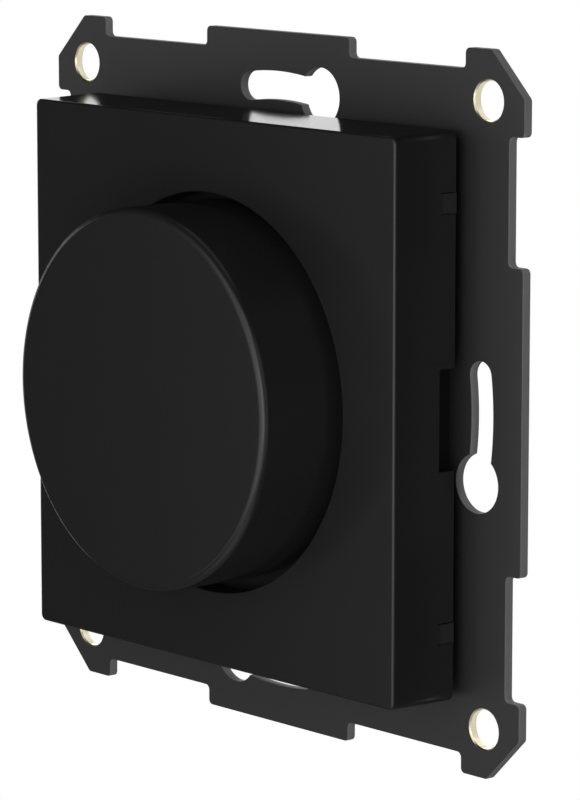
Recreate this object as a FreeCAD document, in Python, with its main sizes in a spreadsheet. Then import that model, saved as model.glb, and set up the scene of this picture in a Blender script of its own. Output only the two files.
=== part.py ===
import FreeCAD, Part
import os
import re
import Sketcher

doc = FreeCAD.newDocument("WirelessRotaryDimmer")

# Sizes are in millimetres and angles in degrees.
# Width runs along X and height along Z. Depth is counted from the wall towards the room, along -Y.
# The origin is the centre of the mounting plate, on its wall face.
SIZES = [
    # mounting plate
    ("box_screw_spacing", 60.0, "screws of a flush wall box, centre to centre"),
    ("plate_rim", 5.4, "metal between the slots' centre line and the plate's edge"),
    ("plate_thickness", 1.0, "sheet steel"),
    ("tab_width", 21.7, "tabs in the middle of the top and bottom edges"),
    ("tab_height", 29.8, "tabs in the middle of the side edges"),
    ("notch_depth", 2.0, "edge notches between the tabs and the corner ears"),
    ("ear_width", 8.1, "corner ears"),
    ("ear_chamfer", 4.5, "cut across each ear"),
    ("plate_corner_radius", 0.5, "stamped corners"),
    ("slot_width", 2.9, "curved slots"),
    ("slot_tip_angle", 7.75, "plain end of a slot, from the axis"),
    ("slot_head_angle", 12.45, "round end of a slot, from the axis"),
    ("screw_head_hole", 5.8, "round end of a slot, diameter"),
    ("corner_inset", 4.9, "corner holes, in from the plate's edges"),
    ("bush_diameter", 4.3, "brass corner bushes"),
    ("bush_bore", 3.9, "bore of the corner bushes"),
    ("bush_chamfer", 0.1, "bevel at both mouths of a bush"),
    ("flange_width", 5.4, "base flange that lies on the plate, round the window"),
    ("window_corner", 5.0, "corner radius of the plate's window"),
    # front cover
    ("cover_width", 55.0, "insert of the 55 mm frame range"),
    ("cover_height", 55.2, "insert of the 55 mm frame range"),
    ("cover_depth", 9.2, "front face above the plate"),
    ("cover_gap", 1.35, "rear edge above the plate"),
    ("cover_wall", 1.8, "side walls"),
    ("cover_face", 1.6, "front wall"),
    ("cover_corner", 0.7, "upright corners"),
    ("cover_edge", 0.25, "round of the front edge"),
    ("cover_clearance", 0.3, "between the cover and the base walls"),
    ("pry_width", 10.0, "notch for a screwdriver"),
    ("pry_depth", 2.0, "notch and slits, in from the rear edge"),
    ("tongue_offset", 20.9, "snap tongues, above and below the middle"),
    ("tongue_width", 2.0, "snap tongue between its two slits"),
    ("tongue_slit", 0.25, "slit beside a snap tongue"),
    ("tongue_rise", 0.12, "outward set of a snap tongue at its tip"),
    ("barb_reach", 0.65, "inward reach of the barb on a snap tongue"),
    ("barb_length", 0.9, "barb on a snap tongue, along the wall"),
    ("well_wall", 1.2, "collar round the knob's well"),
    ("well_floor", 1.0, "floor of the knob's well"),
    ("brace_width", 1.2, "braces between the collar and the corners"),
    ("brace_height", 1.2, "braces behind the front wall"),
    # knob
    ("knob_diameter", 38.0, "front of the knob"),
    ("knob_draft", 0.1, "growth of the knob's radius towards its skirt"),
    ("knob_height", 9.0, "knob in front of the cover"),
    ("knob_wall", 1.7, "skirt"),
    ("knob_face", 1.6, "front wall of the knob"),
    ("knob_edge", 0.8, "round of the knob's front edge"),
    ("ring_gap", 1.0, "between the skirt and the well"),
    ("hub_wall", 2.5, "hub round the shaft"),
    ("hub_grip", 3.8, "length of shaft held by the hub"),
    ("rib_count", 8, "ribs between the hub and the skirt"),
    ("rib_thickness", 1.0, "ribs of the knob"),
    ("rib_height", 3.2, "ribs behind the knob's front wall"),
    ("grip_thickness", 0.3, "leaf spring on the shaft's flat"),
    ("grip_width", 3.4, "leaf spring on the shaft's flat"),
    # shaft and encoder
    ("press_travel", 0.5, "push of the knob until it clicks"),
    ("press_margin", 0.3, "room left behind pushed pieces"),
    ("shaft_diameter", 6.0, "shaft"),
    ("shaft_flat", 1.5, "flat of the shaft, from its axis"),
    ("shaft_fit", 0.04, "radial clearance of the shaft in its bush"),
    ("collar_reach", 0.6, "collar that keeps the shaft in"),
    ("collar_thickness", 0.35, "collar that keeps the shaft in"),
    ("spindle_diameter", 4.4, "inner end of the shaft, in the rotor"),
    ("spindle_flat", 1.6, "flat of the inner end, from the axis"),
    ("plunger_diameter", 2.0, "tip that pushes the dome"),
    ("encoder_width", 11.7, "body of the encoder"),
    ("encoder_floor", 0.8, "floor of the encoder's body"),
    ("dome_diameter", 4.8, "snap dome"),
    ("dome_thickness", 0.12, "snap dome"),
    ("tooth_gap", 0.3, "between the shaft's collar and the detent teeth"),
    ("rotor_web", 0.6, "rotor between its hub and its teeth"),
    ("tooth_count", 24, "detent teeth"),
    ("tooth_width", 0.5, "detent teeth"),
    ("tooth_depth", 0.75, "detent teeth, along the radius"),
    ("tooth_height", 0.25, "detent teeth"),
    ("running_fit", 0.05, "radial and axial play of small moving pieces"),
    ("detent_thickness", 0.2, "detent spring"),
    ("detent_tip", 0.5, "width of a detent finger at its root"),
    ("frame_thickness", 0.8, "encoder frame, front wall"),
    ("leg_thickness", 0.5, "encoder frame, folded legs"),
    ("leg_width", 7.0, "encoder frame, folded legs"),
    ("lug_width", 2.0, "encoder frame, lugs through the board"),
    ("bush_reach", 2.5, "shaft bush in front of the frame"),
    ("bush_wall", 0.46, "shaft bush"),
    ("bush_flange", 0.6, "shaft bush, flange on the frame"),
    ("bush_flange_reach", 1.3, "shaft bush, flange beyond its tube"),
    ("pin_pitch", 2.5, "contact pins"),
    ("pin_row", 4.6, "contact pins, from the axis"),
    ("pin_width", 0.6, "contact pins"),
    ("pin_thickness", 0.3, "contact pins"),
    ("pin_stub", 0.4, "pins and lugs behind the board"),
    ("hole_play", 0.15, "clearance round a pin, screw or lug"),
    # base housing
    ("base_wall", 1.2, "floor and walls of the base"),
    ("base_corner", 1.2, "upright corners of the base"),
    ("base_recess", 0.2, "sunken floor, short of the wall"),
    ("window_clearance", 0.2, "sunken floor inside the plate's window"),
    ("post_radius", 2.2, "screw posts"),
    ("post_gap", 0.3, "plate screw posts, short of the board"),
    ("screw_edge", 2.3, "plate screws, out from the window's sides"),
    ("screw_shift", 13.0, "plate screws, above and below the middle"),
    ("screw_shank", 2.2, "plate screws"),
    ("screw_head", 4.0, "plate screws, countersunk head"),
    ("screw_length", 4.2, "plate screws, whole length"),
    ("screw_sink", 0.05, "plate screw heads, below the wall face"),
    ("drive_size", 1.8, "cross recess of the screws"),
    ("drive_slot", 0.45, "arm of the cross recess"),
    ("drive_depth", 0.5, "cross recess of the screws"),
    # circuit board
    ("contact_height", 1.4, "room for the contacts, from the cell to the board"),
    ("board_thickness", 1.0, "circuit board"),
    ("board_clearance", 0.4, "between the board and the base walls"),
    ("board_gap", 0.3, "between the board and the well's floor"),
    ("board_fix_inset", 2.9, "board screws and pins, in from the board's edges"),
    ("board_screw_shank", 2.0, "board screws"),
    ("board_screw_head", 3.8, "board screws"),
    ("board_screw_cap", 1.2, "board screws, height of the head"),
    ("board_screw_bite", 2.4, "board screws, length in the post"),
    ("locating_pin", 1.0, "radius of the pins that place the board"),
    ("module_side", 10.3, "radio module, from the board's right edge"),
    ("module_gap", 0.9, "radio module, above the cell's ring"),
    ("module_width", 14.0, "radio module"),
    ("module_height", 10.0, "radio module"),
    ("module_thickness", 0.8, "radio module"),
    ("shield_inset", 0.8, "shield can, in from the module's edges"),
    ("shield_height", 1.5, "shield can"),
    ("shield_corner", 0.6, "shield can"),
    ("antenna_gap", 1.3, "chip antenna, beside the radio module"),
    ("antenna_width", 4.0, "chip antenna"),
    ("antenna_height", 1.6, "chip antenna"),
    ("antenna_thickness", 1.1, "chip antenna"),
    ("setup_inset_x", 10.3, "setup button, in from the board's left edge"),
    ("setup_inset_z", 8.1, "setup button, in from the board's top edge"),
    ("setup_width", 4.5, "body of the setup button"),
    ("setup_body", 2.4, "height of the setup button's body"),
    ("setup_plunger_diameter", 2.2, "plunger of the setup button"),
    ("setup_recess", 0.7, "plunger, short of the base's rear face"),
    ("setup_travel", 0.25, "push of the setup button"),
    ("setup_engagement", 1.0, "plunger inside the button's body"),
    ("setup_hole", 3.2, "hole in the base for the setup button"),
    ("led_shift", 4.6, "status lamp, beside the setup button"),
    ("led_width", 2.0, "status lamp"),
    ("led_height", 1.25, "status lamp"),
    ("led_thickness", 0.8, "status lamp"),
    ("led_hole", 2.0, "hole in the base for the status lamp"),
    ("coil_inset", 5.6, "power coil and chip, in from the board's left edge"),
    ("coil_z", 5.5, "power coil"),
    ("coil_size", 4.0, "power coil"),
    ("coil_height", 1.8, "power coil"),
    ("chip_z", -0.5, "power chip"),
    ("chip_size", 3.0, "power chip"),
    ("chip_height", 0.85, "power chip"),
    ("capacitor_inset", 5.6, "capacitors, in from the board's right edge"),
    ("capacitor_gap", 2.5, "lowest capacitor, above the positive contact"),
    ("capacitor_pitch", 3.4, "capacitors"),
    ("capacitor_count", 3, "capacitors"),
    ("capacitor_width", 3.2, "capacitors"),
    ("capacitor_height", 1.6, "capacitors"),
    ("capacitor_thickness", 1.2, "capacitors"),
    # battery
    ("cell_diameter", 24.5, "coin cell"),
    ("cell_thickness", 3.0, "coin cell"),
    ("cell_cap", 20.4, "negative cap of the cell"),
    ("cell_step", 0.3, "negative cap in front of the can"),
    ("cell_edge", 0.4, "rolled edges of the can"),
    ("cell_drop", 4.0, "cell below the middle of the device"),
    ("cell_clearance", 0.2, "round the cell in its ring"),
    ("ring_wall", 1.15, "ring round the cell"),
    ("ring_gap_behind_board", 0.6, "ring, short of the board"),
    ("lip_thickness", 0.25, "lips that hold the cell"),
    ("lip_reach", 0.5, "lips over the cell's edge"),
    ("lip_width", 3.6, "lips that hold the cell"),
    ("lip_count", 3, "lips that hold the cell"),
    ("stop_reach", 0.9, "ledge in front of the can's edge"),
    ("stop_gap", 0.1, "between the can's edge and its ledge"),
    ("contact_width", 3.4, "battery contacts"),
    ("contact_thickness", 0.2, "battery contacts"),
    ("contact_foot", 5.0, "soldered foot of the negative contact"),
    ("contact_drop", 5.0, "negative contact, below the middle of the cell"),
    ("contact_reach", 5.4, "negative contact, from the middle to its bend"),
    ("contact_toe", 1.0, "upturned end of the negative contact"),
    ("rim_foot", 3.5, "soldered foot of the positive contact"),
    ("thumb_notch", 5.0, "recess that frees the cell, diameter"),
    ("thumb_depth", 1.6, "recess that frees the cell, from the base's rear face"),
    ("thumb_roof", 0.6, "wall behind the recess"),
]

sheet = doc.addObject("Spreadsheet::Sheet", "Sizes")
for line, (alias, number, note) in enumerate(SIZES, start=1):
    sheet.set(f"A{line}", note)
    sheet.set(f"B{line}", str(number))
    sheet.setAlias(f"B{line}", alias)
doc.recompute()
ALIASES = {alias for alias, number, note in SIZES}

# Halves and places that follow from the sizes.
slot_radius = "(box_screw_spacing / 2)"
plate_half = f"({slot_radius} + plate_rim)"
corner_hole = f"({plate_half} - corner_inset)"
base_width = "(cover_width - 2 * (cover_wall + cover_clearance))"
base_height = "(cover_height - 2 * (cover_wall + cover_clearance))"
window_width = f"({base_width} - 2 * flange_width)"
window_height = f"({base_height} - 2 * flange_width)"
screw_out = f"({window_width} / 2 + screw_edge)"
board_width = f"({base_width} - 2 * (base_wall + board_clearance))"
board_height = f"({base_height} - 2 * (base_wall + board_clearance))"
board_fix_x = f"({board_width} / 2 - board_fix_inset)"
board_fix_z = f"({board_height} / 2 - board_fix_inset)"
knob_rear_radius = "(knob_diameter / 2 + knob_draft)"
well_radius = f"({knob_rear_radius} + ring_gap)"
collar_radius = f"({well_radius} + well_wall)"
collar_edge = "(shaft_diameter / 2 + collar_reach)"
tooth_root = f"({collar_edge} + tooth_gap)"
rotor_radius = f"({tooth_root} + tooth_depth + running_fit)"
cell_radius = "(cell_diameter / 2)"
ring_radius = f"({cell_radius} + cell_clearance)"
module_x = f"({board_width} / 2 - module_side - module_width / 2)"
module_z = f"({ring_radius} + ring_wall - cell_drop + module_gap + module_height / 2)"
antenna_x = f"({module_x} + module_width / 2 + antenna_gap + antenna_width / 2)"
setup_x = f"(setup_inset_x - {board_width} / 2)"
setup_z = f"({board_height} / 2 - setup_inset_z)"
led_x = f"({setup_x} + led_shift)"
coil_x = f"(coil_inset - {board_width} / 2)"
capacitor_x = f"({board_width} / 2 - capacitor_inset)"
capacitor_z = "(contact_width / 2 - cell_drop + capacitor_gap + capacitor_height / 2)"

# Depths from the wall, of the faces that pieces share.
plate_front = "plate_thickness"
flange_front = f"({plate_front} + base_wall)"
tray_rear = "base_recess"
tray_floor = f"({tray_rear} + base_wall)"
cell_rear = f"({tray_rear} + lip_thickness + running_fit)"
cell_front = f"({cell_rear} + cell_thickness)"
can_front = f"({cell_front} - cell_step)"
board_rear = f"({cell_front} + contact_height)"
board_front = f"({board_rear} + board_thickness)"
cover_rear = f"({plate_front} + cover_gap)"
cover_front = f"({plate_front} + cover_depth)"
cover_inside = f"({cover_front} - cover_face)"
notch_front = f"({cover_rear} + pry_depth)"
dish_rear = f"({board_front} + board_gap)"
dish_front = f"({dish_rear} + well_floor)"
knob_front = f"({cover_front} + knob_height)"
knob_inside = f"({knob_front} - knob_face)"
knob_rear = f"({dish_front} + press_travel + press_margin)"
cavity_floor = f"({board_front} + encoder_floor)"
plunger_tip = f"({cavity_floor} + press_travel + running_fit)"
rotor_ledge = f"({plunger_tip} + 2 * running_fit)"
rotor_rear = f"({rotor_ledge} + running_fit)"
web_front = f"({rotor_rear} + rotor_web)"
tooth_front = f"({web_front} + tooth_height)"
collar_rear = f"({web_front} + press_travel + press_margin / 2)"
collar_front = f"({collar_rear} + collar_thickness)"
frame_rear = f"({collar_front} + running_fit)"
frame_front = f"({frame_rear} + frame_thickness)"
rim_front = f"({frame_rear} - detent_thickness)"
bush_front = f"({frame_front} + bush_reach)"
hub_rear = f"({bush_front} + press_travel + press_margin)"
shaft_end = f"({hub_rear} + hub_grip)"
bore_end = f"({shaft_end} + hole_play)"
flat_start = f"({hub_rear} - press_margin)"
post_front = f"({board_rear} - post_gap)"


def full(expression):
    # the expression as the document reads it, with each size looked up in the sheet
    return re.sub(r"[a-z][a-z_]*", lambda word: f"Sizes.{word[0]}" if word[0] in ALIASES else word[0],
                  str(expression))


def number_of(expression):
    result = sheet.evalExpression(full(expression))
    return float(getattr(result, "Value", result))


def origin_part(body, role):
    return next(part for part in body.Origin.OriginFeatures if part.Role == role)


def new_body(name):
    body = doc.addObject("PartDesign::Body", name)
    body.Label = name
    body.AllowCompound = True
    return body


def tie(sketch, kind, expression, *where):
    # a dimension of the sketch that follows an expression
    index = sketch.addConstraint(Sketcher.Constraint(kind, *where, number_of(expression)))
    sketch.setExpression(f"Constraints[{index}]", full(expression))


def pin_point(sketch, geometry, point, x, y):
    tie(sketch, "DistanceX", x, -1, 1, geometry, point)
    tie(sketch, "DistanceY", y, -1, 1, geometry, point)


def point_of(x, y):
    return FreeCAD.Vector(number_of(x), number_of(y), 0)


def polygon(points):
    # a closed outline with straight sides
    def draw(sketch):
        corners = [point_of(x, y) for x, y in points]
        first = sketch.GeometryCount
        count = len(points)
        for start, end in zip(corners, corners[1:] + corners[:1]):
            sketch.addGeometry(Part.LineSegment(start, end), False)
        for step, (x, y) in enumerate(points):
            following = first + (step + 1) % count
            sketch.addConstraint(Sketcher.Constraint("Coincident", first + step, 2, following, 1))
            pin_point(sketch, first + step, 1, x, y)
    return draw


def rectangle(x, y, width, height):
    left, right = f"{x} - ({width}) / 2", f"{x} + ({width}) / 2"
    low, high = f"{y} - ({height}) / 2", f"{y} + ({height}) / 2"
    return polygon([(left, low), (right, low), (right, high), (left, high)])


def cross(x, y, size, arm):
    # the mouth of a cross-head recess
    far, near = f"({size}) / 2", f"({arm}) / 2"
    steps = [(far, near), (near, near), (near, far)]
    turns = [(1, 1, False), (-1, 1, True), (-1, -1, False), (1, -1, True)]
    points = []
    for sign_x, sign_y, backwards in turns:
        for along, up in reversed(steps) if backwards else steps:
            points.append((f"{x} + {sign_x} * {along}", f"{y} + {sign_y} * {up}"))
    return polygon(points)


def circle(x, y, radius):
    def draw(sketch):
        ring = Part.Circle(point_of(x, y), FreeCAD.Vector(0, 0, 1), number_of(radius))
        index = sketch.addGeometry(ring, False)
        pin_point(sketch, index, 3, x, y)
        tie(sketch, "Radius", radius, index)
    return draw


def arc_between(centre, radius, start, end):
    ring = Part.Circle(centre, FreeCAD.Vector(0, 0, 1), radius)
    return Part.ArcOfCircle(ring, start, end)


def rounded_rectangle(width, height, radius):
    # centred on the axis, with round corners
    def draw(sketch):
        half_w, half_h, round_by = number_of(f"{width} / 2"), number_of(f"{height} / 2"), number_of(radius)
        flat_w, flat_h = half_w - round_by, half_h - round_by
        quarter = FreeCAD.Units.Quantity("90 deg").getValueAs("rad").Value
        first = sketch.GeometryCount
        corners = [(1, 1), (-1, 1), (-1, -1), (1, -1)]
        ends = [((flat_w, half_h), (-flat_w, half_h)), ((-half_w, flat_h), (-half_w, -flat_h)),
                ((-flat_w, -half_h), (flat_w, -half_h)), ((half_w, -flat_h), (half_w, flat_h))]
        for turn, ((side_x, side_y), (start, end)) in enumerate(zip(corners, ends)):
            centre = FreeCAD.Vector(side_x * flat_w, side_y * flat_h, 0)
            sketch.addGeometry(arc_between(centre, round_by, turn * quarter, (turn + 1) * quarter), False)
            sketch.addGeometry(Part.LineSegment(FreeCAD.Vector(*start, 0), FreeCAD.Vector(*end, 0)), False)
        for turn, (side_x, side_y) in enumerate(corners):
            arc, line_after = first + 2 * turn, first + 2 * turn + 1
            next_arc = first + (2 * turn + 2) % 8
            sketch.addConstraint(Sketcher.Constraint("Tangent", arc, 2, line_after, 1))
            sketch.addConstraint(Sketcher.Constraint("Tangent", line_after, 2, next_arc, 1))
            pin_point(sketch, arc, 3, f"{side_x} * ({width} / 2 - {radius})",
                      f"{side_y} * ({height} / 2 - {radius})")
            tie(sketch, "Radius", radius, arc)
    return draw


def curved_slot(radius, width, low_angle, high_angle):
    # a slot round the axis, between the centres of its round ends
    def draw(sketch):
        low, high, middle = number_of(low_angle), number_of(high_angle), number_of(radius)
        half = number_of(f"({width}) / 2")
        to_rad = FreeCAD.Units.Quantity("1 deg").getValueAs("rad").Value
        centre = FreeCAD.Vector(0, 0, 0)
        low_end = point_of(f"{radius} * cos({low_angle})", f"{radius} * sin({low_angle})")
        high_end = point_of(f"{radius} * cos({high_angle})", f"{radius} * sin({high_angle})")
        first = sketch.GeometryCount
        outer, cap_high, inner, cap_low = first, first + 1, first + 2, first + 3
        turn_low, turn_high, half_turn = low * to_rad, high * to_rad, 180 * to_rad
        sketch.addGeometry(arc_between(centre, middle + half, turn_low, turn_high), False)
        sketch.addGeometry(arc_between(high_end, half, turn_high, turn_high + half_turn), False)
        sketch.addGeometry(arc_between(centre, middle - half, turn_low, turn_high), False)
        sketch.addGeometry(arc_between(low_end, half, turn_low + half_turn, turn_low + 2 * half_turn), False)
        for arc in (outer, inner):
            sketch.addConstraint(Sketcher.Constraint("Coincident", arc, 3, -1, 1))
        sketch.addConstraint(Sketcher.Constraint("Tangent", outer, 2, cap_high, 1))
        sketch.addConstraint(Sketcher.Constraint("Tangent", cap_high, 2, inner, 2))
        sketch.addConstraint(Sketcher.Constraint("Tangent", inner, 1, cap_low, 1))
        sketch.addConstraint(Sketcher.Constraint("Tangent", cap_low, 2, outer, 1))
        pin_point(sketch, cap_high, 3, f"{radius} * cos({high_angle})", f"{radius} * sin({high_angle})")
        tie(sketch, "DistanceY", f"{radius} * sin({low_angle})", -1, 1, cap_low, 3)
        tie(sketch, "Radius", f"({width}) / 2", cap_high)
    return draw


def round_with_flat(radius, flat):
    # a circle about the axis, cut by a level flat above it
    def draw(sketch):
        size, level = number_of(radius), number_of(flat)
        half = (size ** 2 - level ** 2) ** 0.5
        left, right = FreeCAD.Vector(-half, level, 0), FreeCAD.Vector(half, level, 0)
        bottom = FreeCAD.Vector(0, -size, 0)
        arc = sketch.addGeometry(Part.Arc(left, bottom, right), False)
        line = sketch.addGeometry(Part.LineSegment(right, left), False)
        sketch.addConstraint(Sketcher.Constraint("Coincident", arc, 3, -1, 1))
        sketch.addConstraint(Sketcher.Constraint("Coincident", arc, 2, line, 1))
        sketch.addConstraint(Sketcher.Constraint("Coincident", line, 2, arc, 1))
        sketch.addConstraint(Sketcher.Constraint("Horizontal", line))
        tie(sketch, "Radius", radius, arc)
        tie(sketch, "DistanceY", flat, -1, 1, line, 1)
    return draw


def new_sketch(body, name, plane, offset, shapes):
    sketch = body.newObject("Sketcher::SketchObject", name)
    sketch.AttachmentSupport = [(origin_part(body, plane), "")]
    sketch.MapMode = "FlatFace"
    sketch.setExpression(".AttachmentOffset.Base.z", full(offset))
    for draw in shapes:
        draw(sketch)
    return sketch


def raised(body, name, rear, height, *shapes, plane="XZ_Plane"):
    # material from one depth towards the room
    sketch = new_sketch(body, f"{name}_outline", plane, rear, shapes)
    feature = body.newObject("PartDesign::Pad", name)
    feature.Profile = sketch
    feature.setExpression("Length", full(height))
    doc.recompute()
    return feature


def sunk(body, name, front, depth, *shapes, plane="XZ_Plane"):
    # a cut from one depth towards the wall
    before = body.Shape.Volume
    sketch = new_sketch(body, f"{name}_outline", plane, front, shapes)
    feature = body.newObject("PartDesign::Pocket", name)
    feature.Profile = sketch
    feature.setExpression("Length", full(depth))
    doc.recompute()
    if body.Shape.Volume >= before:
        raise ValueError(f"{body.Label}: {name} cuts nothing")
    return feature


def turned(body, name, points):
    # a solid of revolution about the knob's axis, from radii and depths
    outline = polygon([(radius, f"-({depth})") for radius, depth in points])
    sketch = new_sketch(body, f"{name}_outline", "XY_Plane", "0", [outline])
    feature = body.newObject("PartDesign::Revolution", name)
    feature.Profile = sketch
    feature.ReferenceAxis = (origin_part(body, "Y_Axis"), [""])
    feature.Angle = 360
    doc.recompute()
    return feature


def round_pattern(body, name, originals, count, turn="360"):
    # copies round the knob's axis
    feature = body.newObject("PartDesign::PolarPattern", name)
    feature.Originals = originals
    feature.Axis = (origin_part(body, "Y_Axis"), [""])
    feature.setExpression("Occurrences", full(count))
    feature.setExpression("Angle", full(turn))
    body.Tip = feature
    doc.recompute()
    return feature


def mirrored(body, name, originals, plane):
    feature = body.newObject("PartDesign::Mirrored", name)
    feature.Originals = originals
    feature.MirrorPlane = (origin_part(body, plane), [""])
    body.Tip = feature
    doc.recompute()
    return feature


def edges_where(shape, test):
    return [f"Edge{place}" for place, edge in enumerate(shape.Edges, start=1) if test(edge)]


def eased(body, name, kind, size, test):
    # a fillet or chamfer on the edges that pass the test
    base = body.Tip
    names = edges_where(base.Shape, test)
    if not names:
        raise ValueError(f"{body.Label}: {name} finds no edge")
    feature = body.newObject(f"PartDesign::{kind}", name)
    feature.Base = (base, names)
    feature.setExpression("Radius" if kind == "Fillet" else "Size", full(size))
    doc.recompute()
    return feature


def ends(edge):
    return edge.Vertexes[0].Point, edge.Vertexes[-1].Point


def runs_through(edge):
    # a straight edge along the depth
    start, end = ends(edge)
    return abs(start.y - end.y) > 0.01 and abs(start.x - end.x) < 0.001 and abs(start.z - end.z) < 0.001


def lies_at(edge, depth):
    return all(abs(vertex.Point.y + number_of(depth)) < 0.001 for vertex in edge.Vertexes)


def ring_at(edge, depth, radius):
    round_edge = isinstance(edge.Curve, Part.Circle)
    return round_edge and lies_at(edge, depth) and abs(edge.Curve.Radius - number_of(radius)) < 0.001


def shift(body, across, up):
    body.setExpression(".Placement.Base.x", full(across))
    body.setExpression(".Placement.Base.z", full(up))
    doc.recompute()


def four_corners(shape, across, up, *sizes):
    return [shape(f"{side} * {across}", f"{level} * {up}", *sizes) for side in (1, -1) for level in (1, -1)]


# Mounting plate: a stamped sheet with ears, tabs, four keyhole slots round the axis and a window.
plate = new_body("mounting_plate")
low = f"({plate_half} - notch_depth)"
ear = f"({plate_half} - ear_width)"
cut = f"({plate_half} - ear_chamfer)"
tab_x, tab_z = "(tab_width / 2)", "(tab_height / 2)"
quarter = [(tab_x, plate_half), (tab_x, low), (ear, low), (ear, plate_half), (cut, plate_half),
           (plate_half, cut), (plate_half, ear), (low, ear), (low, tab_z), (plate_half, tab_z)]
outline = []
for side_x, side_z, backwards in ((1, 1, False), (1, -1, True), (-1, -1, False), (-1, 1, True)):
    for across, up in reversed(quarter) if backwards else quarter:
        outline.append((f"{side_x} * {across}", f"{side_z} * {up}"))
raised(plate, "sheet", "0", "plate_thickness", polygon(outline))
eased(plate, "stamped_corners", "Fillet", "plate_corner_radius", runs_through)
slot = sunk(plate, "slot", plate_front, "plate_thickness",
            curved_slot(slot_radius, "slot_width", "-slot_head_angle", "slot_tip_angle"))
head_hole = sunk(plate, "head_hole", plate_front, "plate_thickness",
                 circle(f"{slot_radius} * cos(slot_head_angle)", f"-{slot_radius} * sin(slot_head_angle)",
                        "screw_head_hole / 2"))
round_pattern(plate, "keyholes", [slot, head_hole], "4")
sunk(plate, "corner_holes", plate_front, "plate_thickness",
     *four_corners(circle, corner_hole, corner_hole, "bush_diameter / 2"))
sunk(plate, "window", plate_front, "plate_thickness",
     rounded_rectangle(window_width, window_height, "window_corner"))
sunk(plate, "screw_holes", plate_front, "plate_thickness",
     *four_corners(circle, screw_out, "screw_shift", "screw_shank / 2 + hole_play"))
eased(plate, "countersinks", "Chamfer", "(screw_head - screw_shank) / 2",
      lambda edge: ring_at(edge, "0", "screw_shank / 2 + hole_play"))

# Corner bushes: thin brass sleeves, flush with both faces of the plate.
bushes = new_body("corner_bushes")
raised(bushes, "sleeves", "0", "plate_thickness",
       *four_corners(circle, corner_hole, corner_hole, "bush_diameter / 2"),
       *four_corners(circle, corner_hole, corner_hole, "bush_bore / 2"))
eased(bushes, "mouths", "Chamfer", "bush_chamfer",
      lambda edge: ring_at(edge, plate_front, "bush_bore / 2") or ring_at(edge, "0", "bush_bore / 2"))

# Base housing: a moulded tray that sinks into the plate's window and carries everything else.
base = new_body("base_housing")
raised(base, "flange", plate_front, "base_wall",
       rounded_rectangle(base_width, base_height, "base_corner"))
sunken_width = f"({window_width} - 2 * window_clearance)"
sunken_height = f"({window_height} - 2 * window_clearance)"
tray_width = f"({sunken_width} - 2 * base_wall)"
tray_height = f"({sunken_height} - 2 * base_wall)"
raised(base, "sunken_floor", tray_rear, f"{flange_front} - {tray_rear}",
       rounded_rectangle(sunken_width, sunken_height, "(window_corner - window_clearance)"))
sunk(base, "tray", flange_front, f"{flange_front} - {tray_floor}",
     rounded_rectangle(tray_width, tray_height, "(window_corner - window_clearance - base_wall)"))
inner_width = f"({base_width} - 2 * base_wall)"
inner_height = f"({base_height} - 2 * base_wall)"
raised(base, "walls", flange_front, f"{cover_inside} - {flange_front}",
       rounded_rectangle(base_width, base_height, "base_corner"),
       rounded_rectangle(inner_width, inner_height, "base_corner / 2"))
barb_room = f"({cover_rear} + barb_length + 2 * stop_gap)"
for side, facing in (("right", 1), ("left", -1)):
    wall_face = f"{facing} * {base_width} / 2"
    window_rear, window_front = f"-{flange_front}", f"-{barb_room}"
    barb_windows = []
    for level in (1, -1):
        low_z = f"{level} * tongue_offset - tongue_width / 2 - tongue_slit"
        high_z = f"{level} * tongue_offset + tongue_width / 2 + tongue_slit"
        barb_windows.append(polygon([(window_front, low_z), (window_rear, low_z),
                                     (window_rear, high_z), (window_front, high_z)]))
    start = wall_face if facing == 1 else f"{wall_face} + base_wall"
    sunk(base, f"{side}_barb_windows", start, "base_wall", *barb_windows, plane="YZ_Plane")
ring_front = f"({board_rear} - ring_gap_behind_board)"
well_x, well_z = "0", "-cell_drop"
raised(base, "cell_ring", tray_floor, f"{ring_front} - {tray_floor}",
       circle(well_x, well_z, f"{ring_radius} + ring_wall"))
thumb_front = f"({tray_rear} + thumb_depth)"
thumb_z = f"({well_z} - {ring_radius})"
raised(base, "thumb_boss", tray_floor, f"{thumb_front} + thumb_roof - {tray_floor}",
       circle(well_x, thumb_z, "thumb_notch / 2 + thumb_roof"))
sunk(base, "cell_well", f"{can_front} + stop_gap", f"{can_front} + stop_gap - {tray_rear}",
     circle(well_x, well_z, ring_radius))
sunk(base, "cell_mouth", ring_front, f"{ring_front} - {can_front}",
     circle(well_x, well_z, f"{cell_radius} - stop_reach"))
gate_middle = f"({ring_radius} + ring_wall / 2)"
sunk(base, "contact_gate", ring_front, f"{ring_front} - {tray_floor}",
     rectangle(gate_middle, well_z, "ring_wall + 2 * stop_reach", "contact_width + 4 * hole_play"))
sunk(base, "thumb_recess", thumb_front, "thumb_depth", circle(well_x, thumb_z, "thumb_notch / 2"))
lip_tip = f"({cell_radius} - lip_reach)"
for place in range(int(number_of("lip_count"))):
    turn = f"(90 + {place} * 360 / lip_count)"
    corners = []
    for reach, side in ((lip_tip, -1), (f"({ring_radius} + ring_wall / 2)", -1),
                        (f"({ring_radius} + ring_wall / 2)", 1), (lip_tip, 1)):
        across = f"{reach} * cos({turn}) - {side} * lip_width / 2 * sin({turn})"
        up = f"{reach} * sin({turn}) + {side} * lip_width / 2 * cos({turn})"
        corners.append((f"{well_x} + {across}", f"{well_z} + {up}"))
    raised(base, f"lip_{place + 1}", tray_rear, "lip_thickness", polygon(corners))
raised(base, "plate_posts", plate_front, f"{post_front} - {plate_front}",
       *four_corners(circle, screw_out, "screw_shift", "post_radius"))
sunk(base, "plate_pilots", post_front, f"{post_front} - {plate_front}",
     *four_corners(circle, screw_out, "screw_shift", "screw_shank / 2 + running_fit"))
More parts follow.
